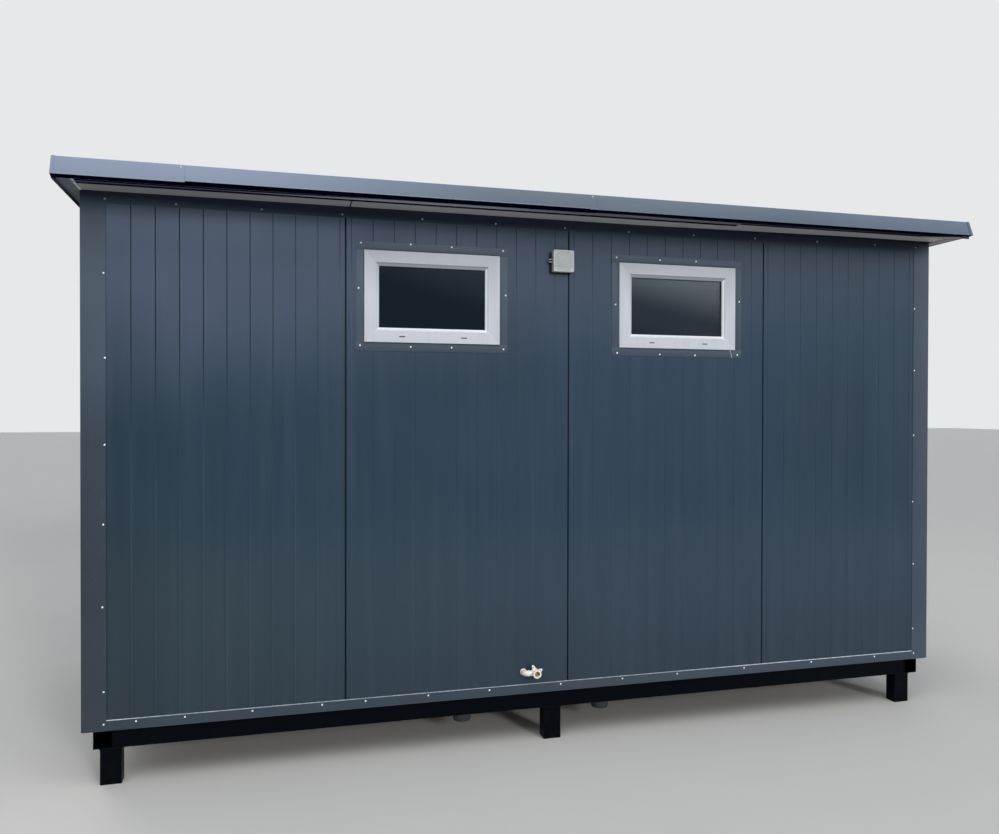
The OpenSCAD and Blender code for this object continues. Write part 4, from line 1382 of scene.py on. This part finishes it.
def roofScrews():
    places = []
    for i in range(1, 5):
        low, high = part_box(f"roof_panel_{i}")
        pitch = (high.x - low.x) / 4
        for pan in (1, 2, 3):
            for y in roofScrew["rows"]:
                places.append(placed((low.x + pan * pitch, y, panTop), 37 * pan + 11 * i))
    bm = bmesh.new()
    stamp(bm, templateMesh(roofScrewShape), places)
    finishPiece("roofScrews", bm, [handleAlloy])


roofScrews()
print("roof screws set")


# Welds of the base frame

weld = {"radius": 3.5 * mm, "lump": 0.5, "step": 4 * mm, "in": 1 * mm, "endGap": 2 * mm}
foot = {"wide": 88 * mm, "deep": 68 * mm, "middle": -35 * mm}


def addWelds():
    bm = bmesh.new()
    low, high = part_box("feet")
    level = high.z - weld["in"]
    wide, deep = foot["wide"], foot["deep"]
    lines = []
    for x in (low.x, foot["middle"] - wide / 2, high.x - wide):
        for y in (low.y, high.y - deep):
            corners = [(x, y, level), (x + wide, y, level), (x + wide, y + deep, level), (x, y + deep, level)]
            lines += zip(corners, corners[1:] + corners[:1])
    low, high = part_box("cross_tubes")
    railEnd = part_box("front_rail")[1].x
    for x in (-railEnd, railEnd):
        for y in (weld["in"] - high.y, high.y - weld["in"]):
            lines.append(((x, y, low.z + weld["endGap"]), (x, y, high.z - weld["endGap"])))
    for start, end in lines:
        beadLine(bm, start, end, weld["radius"], weld["lump"], weld["step"])
    finishPiece("frameWelds", bm, [tubePaint], sharp=60)


addWelds()
print("welds run")


# Floor, light and camera

studio = {
    "floorColour": "#D8D7D4", "floorShade": "#CCCBC7", "backdrop": "#E6E8EA",
    "floorHalf": 60,  # metres, so that its far edge makes a level horizon
    "sky": "#F4F7FC", "skyStrength": 0.40,
    # what the cabin mirrors: dark ground, a grey band and a bright sky, parted by slanting edges
    "mirrored": ("#485668", ("#74808E", ("slant", 0.19, 0.235)),
                 ("#E4ECF6", ("slant", 0.245, 0.30, 0, 1, "SMOOTHSTEP"))),
    "slant": 0.31, "mirroredStrength": 2.2,
    "overheadWatts": 240, "overheadSize": (8, 7), "frontSun": 1.1, "backSun": 0.8,
}


def addFloor():
    bm = bmesh.new()
    bmesh.ops.create_grid(bm, x_segments=2, y_segments=2, size=studio["floorHalf"])
    mesh = bpy.data.meshes.new("studioFloor")
    bm.to_mesh(mesh)
    bm.free()
    material, tree, shader, values = newMaterial("studioFloorPaint")
    values["grain"] = patches(tree, values, 500 * mm, 0.3, 0.7, 4.0)
    colour = paint(tree, values, studio["floorColour"], (studio["floorShade"], "grain", 0.15))
    setInputs(tree, shader, {"Roughness": 0.85, "Specular IOR Level": 0.2, "Base Color": colour})
    mesh.materials.append(material)
    floor = bpy.data.objects.new("studioFloor", mesh)
    bpy.context.scene.collection.objects.link(floor)


def addSky():  # a plain backdrop for the camera, a landscape in what shines, an even light on all else
    world = bpy.data.worlds.new("studioWorld")
    bpy.context.scene.world = world
    world.use_nodes = True
    tree = world.node_tree
    rays = addNode(tree, "LightPath").outputs
    plain = tree.nodes["Background"]
    setInputs(tree, plain, {"Color": studio["sky"], "Strength": studio["skyStrength"]})
    looks = addNode(tree, "SeparateXYZ", {"Vector": addNode(tree, "TexCoord").outputs["Generated"]}).outputs
    inputs = {0: looks["X"], 1: studio["slant"], 2: looks["Z"]}
    slant = addNode(tree, "Math", inputs, operation="MULTIPLY_ADD").outputs[0]
    seen = paint(tree, {"slant": slant}, *studio["mirrored"])
    mirrored = addNode(tree, "Background", {"Color": seen, "Strength": studio["mirroredStrength"]})
    shown = addNode(tree, "Background", {"Color": studio["backdrop"]})
    inputs = {0: rays["Is Glossy Ray"], 1: rays["Is Transmission Ray"]}
    glossy = addNode(tree, "Math", inputs, operation="MAXIMUM").outputs[0]
    bounced = addNode(tree, "MixShader", {0: glossy, 1: plain.outputs[0], 2: mirrored.outputs[0]}).outputs[0]
    mixed = addNode(tree, "MixShader", {0: rays["Is Camera Ray"], 1: bounced, 2: shown.outputs[0]})
    setInputs(tree, tree.nodes["World Output"], {"Surface": mixed.outputs[0]})


def addLight(name, kind, energy, aim):
    data = bpy.data.lights.new(name, kind)
    data.energy = energy
    lamp = bpy.data.objects.new(name, data)
    lamp.rotation_mode = "QUATERNION"
    lamp.rotation_quaternion = aim.to_track_quat("-Z", "Y")
    bpy.context.scene.collection.objects.link(lamp)
    return lamp


def addLamp(name, place, target, size, watts):
    lamp = addLight(name, "AREA", watts, Vector(target) - Vector(place))
    lamp.location = place
    lamp.data.shape = "RECTANGLE"
    lamp.data.size, lamp.data.size_y = size


def addSun(name, source, strength, spread):
    lamp = addLight(name, "SUN", strength, -Vector(source))
    lamp.data.angle = math.radians(spread)
    lamp.visible_glossy = False


def addCamera():
    shot = {"eye": (-1.3874, -4.9663, 1.6544), "yaw": 15.046, "pitch": -0.513, "roll": 0.116, "focal": 30.25}
    data = bpy.data.cameras.new("photoCamera")
    data.sensor_fit = "HORIZONTAL"
    data.sensor_width = 36
    data.lens = shot["focal"]
    data.clip_end = 200
    camera = bpy.data.objects.new("photoCamera", data)
    nod = Matrix.Rotation(math.radians(90 + shot["pitch"]), 4, "X")
    camera.matrix_world = placed(shot["eye"], -shot["yaw"]) @ nod @ turned(shot["roll"])
    bpy.context.scene.collection.objects.link(camera)
    bpy.context.scene.camera = camera


addFloor()
addSky()
addLamp("overhead", (-0.5, -3.5, 6.5), (0, 0, 1), studio["overheadSize"], studio["overheadWatts"])
addSun("frontSun", (0.37, -1.0, 0.32), studio["frontSun"], 12)  # shade falls left of the junction box
addSun("backSun", (-0.5, 1.0, 0.5), studio["backSun"], 30)
addCamera()
bpy.context.scene.view_settings.view_transform = "Standard"

print("scene ready")
